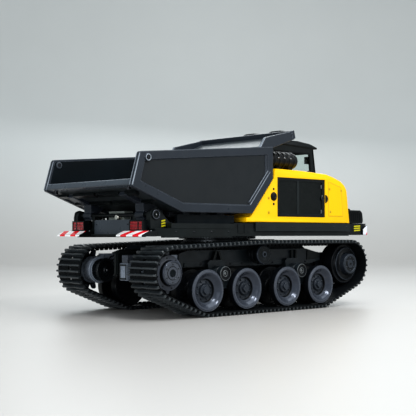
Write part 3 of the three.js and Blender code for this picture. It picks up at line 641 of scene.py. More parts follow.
# ------------------------------------------------------------------ running gear
def road_wheel(side, sign, number, x):
    p = Piece(f"{side}_wheel_{number}", sign)
    c = (x, WHEEL_Z)
    # inner disc, its ribs and the tread side in the darker copy of the wheel material: painted shade
    p.slot = 1
    p.turn("y", c, [(0, 54), (24.2, 54), (25, 54.8), (25, 63.2), (24.2, 64), (20, 64), (19.4, 63.2),
        (11, 63.2), (10, 64.6), (4, 65), (4, 82), (9.4, 82), (11, 83.4), (22.6, 83), (24.2, 83), (25, 83.8),
        (25, 92, 0), (24.6, 92.8, 0), (24.1, 93, 0), (23.8, 92.7, 0), (23.4, 92.7, 0), (23.1, 93.2, 0),
        (21.4, 93.4, 2), (20.6, 93, 2), (19, 91.4, 2), (17, 89.2, 2), (15.2, 88, 2), (14.2, 87.6),
        (13.7, 87), (13.5, 85.3), (13, 84.8, 3), (8.8, 84.8, 3), (8.2, 85.2, 3), (7.7, 87.4, 3),
        (7, 88.2, 3), (0, 88.2, 3)], 72)
    p.slot = 3
    p.bolts("y", c, 10.9, 8, 0.5, 84.8, 1, 1.3, 1.6, "dome")
    cap = [(x + u, WHEEL_Z + v) for u, v in rounded([(6.6, 0), (0, 6.6), (-6.6, 0), (0, -6.6)], 3, 6)]
    p.prism("y", cap, 88, 90.8, [(x + (u - x) * 0.8, WHEEL_Z + (v - WHEEL_Z) * 0.8) for u, v in cap])
    p.slot = 1
    p.teeth("y", c, 12, 0, rect(8.5, 22.5, -0.7, 0.7), 62.6, 63.9)
    p.done(f"{side}_road_wheel_{number}", "wheel wheel_dark wheel_dish hub", 0.18,
        f"{side}_road_wheel_{number}", 40)


def sprocket(side, sign):
    p = Piece(f"{side}_drive_wheel", sign)
    c = SPROCKET
    # inner flange and the side of the front disc in the darker copy of the wheel material: painted shade
    p.slot = 1
    p.turn("y", c, [(4.4, 66.5), (10, 66.5), (10, 69.4), (19.7, 69.4), (19.7, 74.6), (17.6, 75.4),
        (17.6, 79.6), (19.9, 80), (20.5, 80.6), (20.5, 85.4, 0), (20.1, 86.2, 0), (19, 86.6, 0), (15, 87.4),
        (14.5, 87.8), (14.5, 91.4, 2), (14.2, 92.6, 2), (13.4, 93.3, 2), (12.9, 93.4), (12.7, 92.9),
        (12.3, 92.9, 3), (12.1, 93.2, 3), (8.2, 93.2, 3), (7.9, 92.8), (7.4, 92.8), (7.1, 93.3, 3),
        (4.7, 93.4, 3), (4.5, 92.9), (4.4, 90)], 64)
    # the centre hole's floor in the darkest material: painted shade in the hole
    p.slot = 4
    p.turn("y", c, [(0, 92.1), (4.3, 92.1), (4.3, 92.9), (2.4, 92.9), (2.2, 92.6), (0, 92.6)], 32)
    p.slot = 0
    tooth = [(18.6, -3.2), (24.6, -2.2), (26.1, -1.1), (26.1, 1.1), (24.6, 2.2), (18.6, 3.2)]
    p.teeth("y", c, 13, 0.5, tooth, 69.7, 74.3)
    # the screws too, so that they read as dark holes: painted shade
    p.slot = 1
    p.bolts("y", c, 17.4, 8, 0.25, 86.8, 1, 1.1, 0.4, "socket")
    p.bolts("y", c, 10.2, 6, 0.5, 93.2, 1, 1, 0.3, "socket")
    p.done(f"{side}_sprocket", "wheel wheel_dark wheel_dish drum bed_inside", 0.15, f"{side}_sprocket", 40)


def idler(side, sign):
    p = Piece(f"{side}_idler_wheel", sign)
    c = IDLER
    p.slot = 1
    p.turn("y", c, [(0, 90), (4.4, 90), (4.4, 60), (9, 60), (26.6, 61), (27.4, 61.6), (27.4, 63.6),
        (23, 64.2), (23, 68.4), (27.4, 69), (27.4, 81.8), (26.8, 82.5), (24.9, 82.7), (24.3, 82.3),
        (23.2, 82.3), (22.7, 82.9), (22.5, 84.9, 3), (22.1, 85.5, 3), (21.1, 85.5), (20.6, 84.4),
        (16, 84.2), (15, 84.6), (14.2, 85.4, 3), (14, 86.4, 3), (14, 92, 3), (13.5, 93, 3), (12.6, 93.4, 3),
        (10.6, 93.3, 3), (10, 92.5), (6.2, 92.3), (5.7, 92.9, 3), (3, 93.2, 3), (0, 93.2, 3)], 72)
    p.slot = 3
    p.bolts("y", c, 8.1, 6, 0.5, 92.3, 1, 1.1, 0.8, "dome")
    p.slot = 1
    p.bolt("y", c, 93.1, 1, 2, 0.7, "socket")
    p.done(f"{side}_idler", "wheel wheel_dark wheel_dish hub", 0.15, f"{side}_idler", 40)


def carrier(side, sign):
    p = Piece(f"{side}_top_roller", sign)
    p.turn("y", CARRIER, [(0, 84, 1), (4.4, 84, 1), (4.4, 73, 1), (11.8, 73), (12.4, 73.6), (12.4, 76.5),
        (11.9, 77), (11.9, 82), (12.4, 82.5), (12.4, 84.9, 2), (11.9, 86, 2), (10.9, 86.6), (9.8, 86.6),
        (5.6, 86.5), (5.2, 86.4), (4.3, 86.4), (4, 87.2, 2), (3.4, 87.5, 2), (2, 87.4, 1), (1.7, 86.3, 1),
        (1.2, 85.4, 1), (0, 85.4, 1)], 56)
    p.done(f"{side}_carrier_roller", "wheel_sheen wheel_dark hub", 0.15, f"{side}_carrier_roller", 40)


def bogie(side, sign, end, x):
    p = Piece(f"{side}_bogie_arm_{end}", sign)
    web = [(x + u, z) for u, z in ((-27.2, 24.4), (-9, 31.6), (9, 31.6), (27.2, 24.4), (28, 31),
        (28.6, 38.4), (10, 55.4), (5.2, 56.4), (5.2, 44.6), (-5.2, 44.6), (-5.2, 56.4), (-10, 55.4),
        (-28.6, 38.4), (-28, 31))]
    p.prism("y", web, 73, 80)
    p.prism("y", [(x + u, z) for u, z in ((-24, 29.5), (-8, 35), (8, 35), (24, 29.5), (25, 34), (9, 41),
        (-9, 41), (-25, 34))], 79.6, 81)
    for s in (-1, 1):
        p.turn("y", (x + s * AXLE_X, WHEEL_Z), [(4.4, 72), (8.6, 72), (9.2, 72.6), (9.2, 80.4),
            (8.6, 81), (4.4, 81)], 40)
        p.bolt("y", (x + s * 17, 39.5), 79.9, 1, 1.5, 0.9)
    p.turn("y", (x, BOGIE_Z), [(0, 86.4, 1), (4.4, 86.4, 1), (4.4, 72), (8.6, 72), (9.2, 72.6), (9.2, 80.6),
        (8.4, 81.2), (8.4, 82), (9, 82.4), (9, 87.2), (8.9, 87.9, 2), (8.5, 88.5, 2), (8, 88.5, 1),
        (7.7, 88, 1), (7.4, 87, 1), (4.4, 87, 1), (4.1, 87.8, 2), (3.6, 88.1, 2), (3.1, 87.9, 1),
        (2.8, 87.2, 1), (1.9, 87.2, 2), (1.5, 87.8, 2), (0, 88, 2)], 48)
    p.done(f"{side}_bogie_{end}", "frame wheel_dark ring", 0.25, f"{side}_bogie_{end}", 36)


# ------------------------------------------------------------------ undercarriage
def track_frame(side, sign):
    p = Piece(f"{side}_side_beam", sign)
    p.prism("y", [(-124, 60), (-118, 57.6), (109, 57.6), (131, 62), (131, 71.8), (127, 72.6), (103, 78),
        (-110, 78), (-124, 74)], 52, 65.4)
    p.prism("y", [(-116, 58.4), (108, 58.4), (120, 61), (120, 63.2), (-116, 63.2)], 65, 66.6)
    p.prism("y", [(112, 56), (118, 49), (126, 43), (132, 42), (132, 63), (112, 59)], 50.2, 53)
    for x in (-68.9, 68.9):
        p.prism("y", [(x - 14, 62), (x - 8, 43), (x + 8, 43), (x + 14, 62), (x + 10, 66),
            (x - 10, 66)], 60, 71.4)
        p.turn("y", (x, BOGIE_Z), [(0, 70), (6.4, 70), (6.4, 71.6), (4, 71.8), (4, 85.7),
            (3.7, 86), (0, 86)], 40)
    p.turn("y", CARRIER, [(0, 63), (8, 63), (8, 68), (5.6, 71), (4, 71.4), (4, 83.3),
        (3.7, 83.6), (0, 83.6)], 40)
    p.slot = 1
    for foot, top in ((-74, -67), (-56, -63)):
        p.prism("y", [(top - 1.6, 76.6), (top + 1.6, 76.6), (foot + 1.8, 60), (foot - 1.8, 60)], 65, 70.6)
    for x in (71.6, 79.6):
        p.prism("y", rect(x - 1.3, x + 1.3, 60, 76.6), 65, 68.8)
    p.prism("y", [(104, 63), (128, 65), (128, 71.2), (104, 76.4)], 65, 66.8)
    p.slot = 2
    for x in (-90, -40, -20, 36, 100):
        p.bolt("y", (x, 60.8), 66.6, 1, 1.3, 0.8, "socket")
    p.done("undercarriage", "frame deck screw_dark", 0.3, f"{side}_track_frame")


def gearbox(side, sign):
    p = Piece(f"{side}_gearbox", sign)
    p.turn("y", SPROCKET, [(0, 46.3), (15.8, 46.3), (16.6, 47), (16.6, 48.8), (16, 49.4), (15.4, 49.8),
        (15.4, 60.8), (16.2, 61.8), (17, 62.4), (17, 65.3), (16.3, 66), (5, 66), (4, 66.4), (4, 89.3),
        (3.7, 89.6), (0, 89.6)], 56)
    p.box(-146, -124.3, 54, 64, 61, 73)
    p.box(-143, -124.3, 53, 65, 58.6, 61.2)
    p.prism("y", [(-147, 60), (-140, 60), (-125, 52), (-125, 60.5), (-132, 66)], 57.5, 60.5)
    for x in (-140, -130):
        p.bolt("y", (x, 67), 64, 1, 1.5, 1)
    p.done("undercarriage", "cast", 0.3, f"{side}_drive_gearbox", 36)


def motor(side, sign):
    p = Piece(f"{side}_motor", sign)
    p.turn("y", SPROCKET, [(0, 46.6), (14.8, 46.6, 1), (14.8, 44.6, 1), (14, 44.2), (14, 36), (14.8, 35.4),
        (14.8, 33.2), (14.2, 32.2), (13.4, 31.8), (12.9, 32.2), (12.4, 32.8), (4.6, 32.8), (4.2, 32),
        (3.6, 31.4), (0, 31.4)], 56)
    p.slot = 2
    p.bolt("y", SPROCKET, 31.5, -1, 1.6, 0.7, "dome")
    if side == "right":   # terminal cover on this motor's inner end
        p.slot = 1
        cover = rounded(rect(-175.4, -152, 42.6, 63.4), 2.8, 4)
        p.prism("y", cover, 18.4, 33)
        p.slot = 0
        p.frame("y", inset(cover, 2), inset(cover, 2.8), 18, 18.8)
        p.frame("x", rect(18.6, 32, 44, 62), rect(20.4, 30.2, 46, 60), -175.8, -175.2)
        p.slot = 4
        p.prism("y", rounded(rect(-174, -154, 63, 73), 1.4, 3), 21.4, 32)
    p.slot = 3
    for dz, dy in ((3.4, 0), (-1.2, 1.8)):
        p.pipe([(-151, 38 + dy, 62 + dz * 0.3), (-146, 37 + dy, 66 + dz), (-136, 35 + dy, 68 + dz),
            (-124, 32 + dy, 66 + dz)], 1, 10)
    p.done("undercarriage", "motor cast screw hose drum", 0.2, f"{side}_drive_motor", 36)


def idler_arm(side, sign):
    p = Piece(f"{side}_idler_arm", sign)
    p.prism("y", [(131.3, 43), (146, 41.4), (158, 45), (165, 46.6), (171.5, 50), (173.4, 56.75),
        (171.5, 63.5), (165, 66.8), (157, 69.2), (148, 71), (131.3, 71.6)], 52.6, 58)
    p.turn("y", IDLER, [(0, 51.9), (7.4, 51.9), (8, 52.5), (8, 58.6), (7.4, 59.2), (4, 59.6), (4, 89.3),
        (3.7, 89.6), (0, 89.6)], 40)
    p.rod("x", (54.9, 69), 128, 150, 3.2)
    p.rod("x", (54.9, 69), 133, 137, 4.6, 6)
    p.bolt("y", (140, 66), 58, 1, 1.6, 1)
    p.bolt("y", (152, 61), 58, 1, 1.6, 1)
    p.done("undercarriage", "frame", 0.3, f"{side}_idler_yoke", 36)


def chassis():
    p = Piece("centre_frame")
    p.prism("y", [(-121, 49), (-115, 46.4), (115, 46.4), (125, 54), (125, 77), (116, 83.2), (-116, 83.2),
        (-121, 78)], -43, 43)
    p.prism("y", [(-125, 52), (-118, 46), (-118, 79.5), (-125, 77)], -44, 44)
    p.prism("y", [(128, 54), (118, 46), (118, 82), (128, 76)], -44, 44)
    p.prism("z", [(-96, -44), (96, -44), (104, -36), (104, 36), (96, 44), (-96, 44), (-104, 36),
        (-104, -36)], 45, 47)
    for s in (-1, 1):
        for x in (-55, 55):
            p.rod("y", (x, 68), s * 42, s * 51.7, 7.6, 36, 0.6)
            p.prism("y", rounded(rect(x - 13, x + 13, 59, 77), 4), s * 43, s * 46)
            for u, v in ((-10, 62), (10, 62), (-10, 74), (10, 74)):
                p.bolt("y", (x + u, v), s * 46, s, 1.3, 1)
        for x in (-98, -20, 20, 98):
            p.prism("y", rect(x - 1.5, x + 1.5, 47, 82.5), s * 43, s * 44)
    p.slot = 1
    for x, out in ((-125, -1), (128, 1)):
        for y in (-36, -14, 14, 36):
            for z in (57, 73):
                p.bolt("x", (y, z), x, out, 1.4, 1, "socket")
    for x in range(-88, 89, 22):
        for y in (-38, 38):
            p.bolt("z", (x, y), 45, -1, 1.4, 0.8, "socket")
    p.slot = 2
    p.prism("y", [(-168, 50), (-166, 48), (-124, 48), (-124, 78), (-164, 78), (-168, 74)], -2, 2)
    p.prism("y", [(-165, 73), (-126, 73), (-126, 76), (-163.6, 76)], -3.2, 3.2)
    p.prism("y", [(-166.5, 50), (-163.5, 50), (-163.5, 75), (-166.5, 73.5)], -3.2, 3.2)
    p.slot = 1
    for x, z in ((-158, 68), (-158, 56), (-136, 68), (-136, 56)):
        p.bolt("y", (x, z), -2, -1, 1.3, 0.9, "socket")
        p.bolt("y", (x, z), 2, 1, 1.3, 0.9, "socket")
    p.done("undercarriage", "frame screw_dark deck", 0.35, "chassis_box")


def slew_ring():
    p = Piece("slew_ring_fixed")
    p.turn("z", (0, 0), [(30, 84), (48, 84), (48, 86.6), (47.6, 87), (45.2, 87), (44.8, 87.4), (44.8, 90.5),
        (44.4, 90.9), (30, 90.9)], 128)
    p.bolts("z", (0, 0), 46.4, 24, 0, 87, 1, 1.1, 1.4)
    p.done("undercarriage", "steel_dark", 0.2, "slew_ring_lower")

    p = Piece("slew_ring_turning")
    p.turn("z", (0, 0), [(30, 91.2), (49.4, 91.2), (49.8, 91.6), (49.8, 95.3),
        (49.4, 95.7), (30, 95.7)], 128)
    p.teeth("z", (0, 0), 84, 0, [(49.2, -1.2), (50.9, -0.55), (50.9, 0.55), (49.2, 1.2)], 91.5, 95.4)
    p.done("upper", "steel_dark", 0.12, "slew_ring_upper")


for side, sign in SIDES:
    belt(side, sign)
    for number, x in enumerate(WHEEL_X, 1):
        road_wheel(side, sign, number, x)
    sprocket(side, sign)
    idler(side, sign)
    carrier(side, sign)
    bogie(side, sign, "rear", -BOGIE_X)
    bogie(side, sign, "front", BOGIE_X)
    track_frame(side, sign)
    gearbox(side, sign)
    motor(side, sign)
    idler_arm(side, sign)
chassis()
slew_ring()


# ------------------------------------------------------------------ deck
def striped_plate(p, span, rise, face, out, backing, colour):
    """A small black plate with slanted yellow bars, standing out of a side face."""
    (x0, x1), (z0, z1) = span, rise
    p.slot = backing
    p.prism("y", rounded(rect(x0, x1, z0, z1), 0.5, 3), face, face + out * 0.35)
    p.slot = colour
    count = max(2, round((z1 - z0) / 3.4))
    step = (z1 - z0 - 1.6) / count
    for k in range(count):
        z = z0 + 0.8 + k * step
        p.prism("y", [(x0 + 0.8, z), (x1 - 0.8, z + step * 0.3), (x1 - 0.8, z + step * 0.9),
            (x0 + 0.8, z + step * 0.6)], face + out * 0.3, face + out * 0.5)


def deck_fittings(p):
    """Rear cross plate with hoses and valves behind it, hoist lugs, screws and striped plates."""
    p.slot = 2
    plate = rounded(rect(-35.6, 35.6, 96, 114.5), [0.6, 0.6, 2.5, 2.5], 4)
    p.prism("x", plate, -172.6, -168.6)
    p.slot = 0
    for s in (-1, 1):
        p.prism("y", [(-168.8, 104), (-160.5, 104), (-168.8, 112)], s * 20, s * 22.4)
    p.slot = 3
    for s in (-1, 1):
        for y in (63, 28):
            arch = [(-162, s * y, 104), (-163.4, s * y, 113), (-165, s * (y + 2), 119),
                (-166, s * (y + 5.5), 121.4), (-165, s * (y + 8.4), 118.6), (-163.4, s * (y + 9.2), 112),
                (-162, s * (y + 9.2), 104)]
            p.pipe(arch, 1.9 if y == 28 else 1.6, 14, 5)
        p.prism("x", rounded(rect(s * 24, s * 41, 104, 110), 1.2), -170, -156)
    p.slot = 4
    p.box(-164.4, -151, -13.4, 17.4, 104.2, 124.9)
    p.slot = 3
    p.box(-161, -157, 17, 27, 103.8, 117.6)
    p.slot = 5
    p.rod("x", (-5, 117.6), -170.4, -164, 3.7, 32, 0.9)
    p.rod("x", (-5, 117.6), -166.6, -164.2, 4.8, 6, 0.3)
    p.rod("x", (7, 119), -166, -164, 1.8, 20, 0.4)
    # hoist lugs
    p.slot = 0
    for s in (-1, 1):
        lug = rounded([(-147, 97), (-130, 97), (-133.4, 107.2), (-142.6, 107.2)], [0.5, 0.5, 3.5, 3.5], 5)
        p.prism("y", lug, s * 8.2, s * 11)
        p.bolt("y", HOIST_FOOT, s * 11, s, 2.2, 1)
    # screws, and a striped plate on each hinge bracket
    p.slot = 6
    for y in (-31, 31):
        p.bolt("x", (y, 109), -172.6, -1, 0.9, 0.5, "socket")
    for x in range(-4, 170, 28):
        for s in (-1, 1):
            if s < 0 or x > 20:
                p.bolt("y", (x, 106.5), s * 86.5, s, 0.95, 0.5, "dome")
    for x in (-146, -118, -90, -62):
        for s in (-1, 1):
            p.bolt("y", (x, 100), s * 86.5, s, 1.1, 0.6, "dome")
    for x in (-140, -100, -62):
        for y in (-64, 64):
            p.bolt("z", (x, y), 104, 1, 1.6, 1.1)
    for s in (-1, 1):
        striped_plate(p, (-160.2, -152.8), (104.8, 115.4), s * 75.9, s, 3, 7)


def deck():
    p = Piece("deck")
    for s in (-1, 1):
        half = [(-172, s * 80.5), (-162, s * 86.5), (-53, s * 86.5), (-53, s * 84.3), (171, s * 84.3),
            (171, s * 14), (-146, s * 14), (-146, s * 30), (-172, s * 30)]
        p.prism("z", half, 95, 104)
        p.box(-163, -56, s * 80, s * 86, 93.4, 95.4)
        p.box(-171, -160, s * 37.6, s * 43.2, 103.6, 119)
    p.box(-56, 170.6, -14.2, 14.2, 96.3, 103.8)
    p.box(-151, -145.6, -14.5, 14.5, 96, 103.1)
    p.box(-178, -168, -35.6, 35.6, 95.4, 97.6)
    # sills: a lighter face above a dark recessed strip
    p.slot = 1
    for s, inner, back in ((-1, 16, -15), (1, -15.9, 20)):
        p.prism("x", [(s * inner, 103.9), (s * 84.4, 103.9), (s * 84.4, 100.6), (s * 86, 100.6),
            (s * 86.5, 101.2), (s * 86.5, 112), (s * inner, 112)], back, 171)
    p.slot = 0
    # edge rails, stiffeners and the valve box beside the hood
    p.box(-153, -52.2, -86.5, -79.5, 103.6, 110)
    p.box(-153, 19.8, 79.5, 86.5, 103.6, 110)
    for s in (-1, 1):
        for x in (-140, -112, -84) + ((-56, -28, 0) if s > 0 else ()):
            p.prism("x", [(s * 79.8, 103.6), (s * 79.8, 108.4), (s * 74, 103.6)], x - 1, x + 1)
        p.box(-146, -56, s * 17 - 2, s * 17 + 2, 103.6, 107)
    p.slot = 3
    p.box(-50.5, -16.4, -84.2, -70, 103.8, 111)
    for x in (-40, -29):
        p.box(x - 4.6, x + 4.6, -84.9, -84, 98.6, 110)
    # dark side strips close below the bed, in the darkest material: painted shadow under the bed
    p.slot = 8
    p.box(-138.4, -46, -79.4, -75.6, 103.6, 120.4)
    p.box(-110, 12, 75.6, 79.4, 103.6, 120.4)
    # hinge ears
    p.slot = 0
    ear = rounded([(-172, 103.6), (-154, 103.6), (-161, 118), (-162.6, 124), (-168, 126.2), (-173.4, 124),
        (-175, 118), (-175, 106)], [0, 2, 2, 3, 5, 3, 2, 1.5], 5)
    bracket = rounded([(-175, 103.8), (-139, 103.8), (-139.6, 105.4), (-152, 116), (-161.5, 125),
        (-168, 127.2), (-174, 124.6), (-175.6, 118)], [0, 0, 1, 3, 3, 5, 3, 1.5], 4)
    for s in (-1, 1):
        p.prism("y", ear, s * 68, s * 74)
        p.prism("y", bracket, s * 73.8, s * 76)
        p.prism("y", [(-170, 103.6), (-156, 103.6), (-161, 112), (-170, 112)], s * 65.8, s * 68.2)
    deck_fittings(p)
    p.done("upper",
        "deck deck_light bed_lip black valve nickel screw_dark lemon bed_inside", 0.4, "deck_frame")


def hinge_shaft():
    p = Piece("bed_hinge_shaft")
    p.turn("y", BED_HINGE, [(0, -75), (3.5, -75), (3.5, -43), (2.2, -40), (2.2, 40), (3.5, 43),
        (3.5, 75), (0, 75)], 32)
    for s in (-1, 1):
        p.turn("y", BED_HINGE, [(0, s * 74.2), (5.8, s * 74.2), (6, s * 76.8), (5.5, s * 77.8, 2),
            (4.6, s * 78, 2), (4.2, s * 77.4), (3.9, s * 76.4), (1.8, s * 76.4), (1.4, s * 77.5),
            (0.7, s * 77.8, 1), (0, s * 77.9, 1)], 36)
    p.done("upper", "black steel drum", 0.15, "bed_hinge_pin", 40)


# ------------------------------------------------------------------ engine hood
HOOD = [(-31.5, 112.3), (171, 112.3), (164.7, 157.7), (160, 164), (152, 169.4), (136, 174.6), (120.9, 178),
    (70, 180.4), (21.5, 181), (19, 176), (18, 168), (-24, 118.6), (-31.5, 118.3)]


def hood():
    outline = rounded(HOOD, [0.6, 0.6, 9, 6, 7, 9, 12, 20, 2.6, 1.5, 1.5, 3, 1], 4)
    doorway = rect(24.7, 118.3, 119.7, 170.3)
    p = Piece("hood")
    p.pocketed("y", [(inset(outline, d), y) for y, d in ((-20, 1.3), (-20.5, 0.45), (-21.6, 0), (-84.5, 0),
        (-85.7, 0.42), (-86.2, 1.4))], doorway, -27)
    panel = rounded([(125, 168.5), (152, 161.4), (156.4, 121.2), (125, 121.2)], 1.4, 4)
    p.prism("y", inset(panel, 0.7), -86, -86.5, inset(panel, 1))
    p.slot = 1
    p.frame("y", panel, inset(panel, 0.7), -86, -86.3)
    for x, z, r in ((127.5, 158, 1.25), (152, 156.6, 1.25), (129, 127.5, 1.25),
            (8.6, 124.7, 1.25), (8.3, 143, 1.1)):
        p.turn("y", (x, z), [(0, -86.2), (r + 0.7, -86.2), (r + 0.6, -86.6), (r, -86.7), (r, -87),
            (r * 0.5, -87.2), (r * 0.4, -86.8), (0, -86.8)], 20)
    p.slot = 2
    for z in (154.7, 135.6):
        p.turn("y", (17.5, z), [(0, -86), (1.5, -86), (1.5, -86.6), (1.1, -86.8), (0.5, -86.8),
            (0.4, -86.5), (0, -86.5)], 20)
    half = [polar((118.5, 144.7), 5.6, math.pi * (k / 16 - 0.5)) for k in range(17)]
    p.prism("y", half, -86, -87.1, inset(half, 0.5))
    # lifting eyes, then vents in the roof and ribs on the front
    for x in (96, 24.5):
        p.turn("x", (-76, 181.4 if x < 50 else 179.4), rect(1.2, 2.4, x, x + 2), 20)
    p.slot = 3
    for k in range(7):
        x = 100 - k * 3.4
        p.prism("x", rect(-56, -30, 178.6, 179.9 + k * 0.05), x, x + 1.7)
    p.prism("x", rect(-60, -28, 178, 179.5), 77, 104)
    for k in range(9):
        z = 122 + k * 4.4
        x = 171 - (z - 112.3) * 0.1388
        p.prism("y", [(x - 0.6, z), (x + 0.9, z), (x + 0.3, z + 2.2), (x - 0.6, z + 2.2)], -78, -28)
    p.done("upper", "yellow yellow_seam black grille", 0.3, "engine_hood", 30)


def fuel_cap():
    p = Piece("fuel_filler")
    p.turn("y", (17.5, 145.2), [(0, -83.8), (3.5, -83.8), (3.5, -85.9), (5.5, -85.9), (5.6, -86.5),
        (5.3, -87.2), (4.4, -87.4), (4.2, -88.3), (3.7, -88.6), (2, -88.6), (1.6, -88.2), (0, -88.2)], 36)
    p.prism("y", rect(16.9, 18.1, 142.4, 148), -88, -88.6)
    p.done("upper", "black", 0.15, "fuel_cap", 40)


def engine_door():
    p = Piece("door_panel")
    y = -85.7
    for x0, x1 in ((25, 29), (113, 118)):
        p.box(x0, x1, y, y + 2.4, 123.6, 166.6)
    p.box(25, 118, y, y + 2.4, 120, 123.6)
    p.box(25, 118, y, y + 2.4, 166.6, 170)
    p.slot = 4
    p.box(63.2, 67, y + 0.3, y + 2.4, 123.6, 166.6)
    p.slot = 1
    for x0, x1 in ((29, 63.2), (67, 113)):
        p.box(x0 - 0.5, x1 + 0.5, y + 0.8, y + 1.5, 123.1, 167.1)
    p.slot = 2
    for z in (160.6, 127.4):
        p.box(110.2, 111.8, y - 0.5, y + 1, z - 2.4, z + 2.4)
    p.box(111.6, 113.4, y - 0.9, y + 0.4, 146.6, 149.4)
    p.slot = 3
    p.turn("y", (113.4, 144.7), [(0, y + 0.4), (3.4, y + 0.4), (3.4, y - 0.7), (2.9, y - 1.2),
        (1.5, y - 1.2), (1.1, y - 0.8), (0, y - 0.8)], 28)
    for z in (128, 162):
        p.rod("z", (26.5, y - 0.3), z - 3, z + 3, 0.7, 16, 0.2)
    for x in (45, 88):
        for z in (121.8, 168.3):
            p.bolt("y", (x, z), y, -1, 0.8, 0.4, "dome")
    p.done("engine_door", "black grille grey_trim screw_dark deck_light", 0.25, "engine_door")


def engine():
    p = Piece("engine")
    p.box(30, 128, -70, -34, 112.6, 134)
    p.prism("x", [(-70, 133.6), (-34, 133.6), (-38, 146), (-66, 146)], 34, 124)
    p.slot = 1
    p.prism("x", rounded([(-63.5, 145.6), (-40.5, 145.6), (-42, 156), (-62, 156)],
        [0, 0, 3, 3], 4), 38, 100)
    for x in range(42, 100, 9):
        p.box(x, x + 2, -60, -44, 155.4, 157.4)
    p.slot = 2
    for x in (46, 60, 74, 88):
        p.pipe([(x, -66, 141), (x, -71, 142), (x + 3, -73, 147), (x + 8, -73, 150)], 2.2, 14, 5)
    p.rod("x", (-73, 150), 42, 104, 3.2, 24, 0.8)
    p.rod("x", (-52, 150), 100, 118, 8, 32, 1.2)
    p.slot = 3
    for x in (50, 72, 94, 112):
        p.bolt("y", (x, 126), -70, -1, 1.8, 1.4)
        p.bolt("y", (x + 6, 118), -70, -1, 1.5, 1.2)
    p.rod("y", (116, 137), -73, -64, 7, 36, 0.8)
    p.rod("y", (99, 130), -73, -68, 4.5, 28, 0.6)
    p.slot = 4
    p.box(128, 144, -74, -30, 112.6, 156)
    for k in range(9):
        p.box(127.2, 128.4, -72 + k * 4.7, -69.4 + k * 4.7, 116, 153)
    p.pipe([(127, -52, 150), (121, -60, 155), (108, -66, 158), (96, -70, 155)], 2.4, 14, 5)
    p.done("upper", "engine cast screw screw_dark black", 0.4, "engine_block")


def air_filter():
    p = Piece("air_cleaner")
    y, z = -64, 194
    profile = [(0, 26.6), (5, 27), (9.4, 28), (10.4, 29.2)]
    for i in range(5):
        x = 32 + i * 9.2
        profile += [(10.6, x - 0.6), (11.3, x), (11.7, x + 0.8), (11.7, x + 2.2),
            (11.3, x + 3), (10.6, x + 3.6)]
    profile += [(10.6, 73.4), (10.2, 76), (9, 78.2), (6.6, 79.6), (3.4, 80.2), (0, 80.4)]
    p.turn("x", (y, z), profile, 64)
    p.slot = 1
    for x in (40, 62):
        p.prism("x", [(y - 6, 181), (y + 6, 181), (y + 7.5, 188), (y - 7.5, 188)], x, x + 8)
        p.box(x - 1, x + 9, y - 9, y + 9, 180.2, 181.8)
    p.pipe([(30, y, z), (22, y + 3, z - 1), (17, y + 8, z - 6), (17, y + 10, z - 13)], 5.2, 20, 6)
    p.slot = 2
    for x in (39, 50.6, 62.2):
        p.rod("x", (y - 10.8, z + 2.4), x - 1.4, x + 1.4, 1, 12, 0.2)
    p.done("upper", "gloss black screw", 0.25, "air_filter", 40)


# ------------------------------------------------------------------ cab
WINDOW = [(93, 168), (168.6, 168), (168.4, 172), (165.2, 212), (93, 213), (93, 204)]
DOORWAY = [(96, 118), (168, 118), (169, 150), (164.6, 213), (96, 215.4), (96, 208)]
CAB_WALL = 2.8


def screen_face(points, back):
    """(y, z) points laid on the leaning front of the cab, or a distance behind it."""
    return [(184 - (z - 150) * 0.152 - back, y, z) for y, z in points]


def cab_walls():
    p = Piece("cab_walls")
    side = [(84, 112.3), (178, 112.3), (184, 150), (173.4, 219.5), (86, 223), (84, 222)]
    p.frame("y", side, WINDOW, -18, -15.2)
    p.frame("y", side, DOORWAY, 83.2, 86)
    p.loft([[(178 - d, -18, 112.3), (178 - d, 86, 112.3), (184 - d, 86, 150.4), (184 - d, -18, 150.4)]
        for d in (0, CAB_WALL)])
    outer, hole = rect(-18, 86, 150, 219.4), rect(-11, 79, 153, 213)
    p.loft([screen_face(*ring) for ring in ((outer, CAB_WALL), (outer, 0), (hole, 0),
        (hole, CAB_WALL))], True)
    p.frame("x", rect(-18, 86, 112.3, 222), rect(-8, 76, 184, 214), 84, 86.8)
    p.box(85, 176, -17, 85, 112.4, 115)
    # window gasket, monitor, vents in the rear wall, then grab rails at the back and beside the screen
    p.slot = 1
    p.frame("y", inset(WINDOW, -1.2), inset(WINDOW, 1), -18.7, -17.7)
    p.box(164.2, 172, -14.6, -9, 198.4, 208.4)
    p.slot = 2
    p.box(163.4, 164.4, -13.8, -9.8, 199.4, 207.4)
    p.slot = 1
    for k in range(5):
        p.box(88.6, 93, 20 + k * 9, 26 + k * 9, 126, 150)
        p.prism("x", rect(20 + k * 9, 26 + k * 9, 128, 148), 83.2, 84.4)
    p.pipe([(90.5, 86, 152), (90.5, 90, 153), (90.5, 91.4, 158), (90.5, 91.4, 190), (90.5, 90, 195),
        (90.5, 86, 196)], 1.1, 12, 5)
    for y in (-12, 80):
        p.pipe([(181, y, 166), (185, y, 166.6), (186, y, 170), (182, y, 196), (180, y, 199.4),
            (175.8, y, 199.8)], 1, 12, 5)
    # wiper, and its motor on the screen's header
    p.pipe([(175.6, 34, 215.6), (177.4, 34, 200), (180.4, 30, 180), (181.8, 28, 170)], 0.7, 10, 4)
    p.prism("z", rect(173, 177.6, 33, 37), 213.6, 217)
    p.slot = 3
    for z in (122, 134, 146):
        p.bolt("y", (92, z), -18, -1, 1, 0.6, "dome")
        p.bolt("y", (172, z), -18, -1, 1, 0.6, "dome")
    for y in (-10, 12, 34, 56, 78):
        p.bolt("x", (y, 118), 178.2, 1, 1.2, 0.8, "socket")
    p.done("upper", "black rubber_in screen screw_dark", 0.4, "cab_shell", 34)


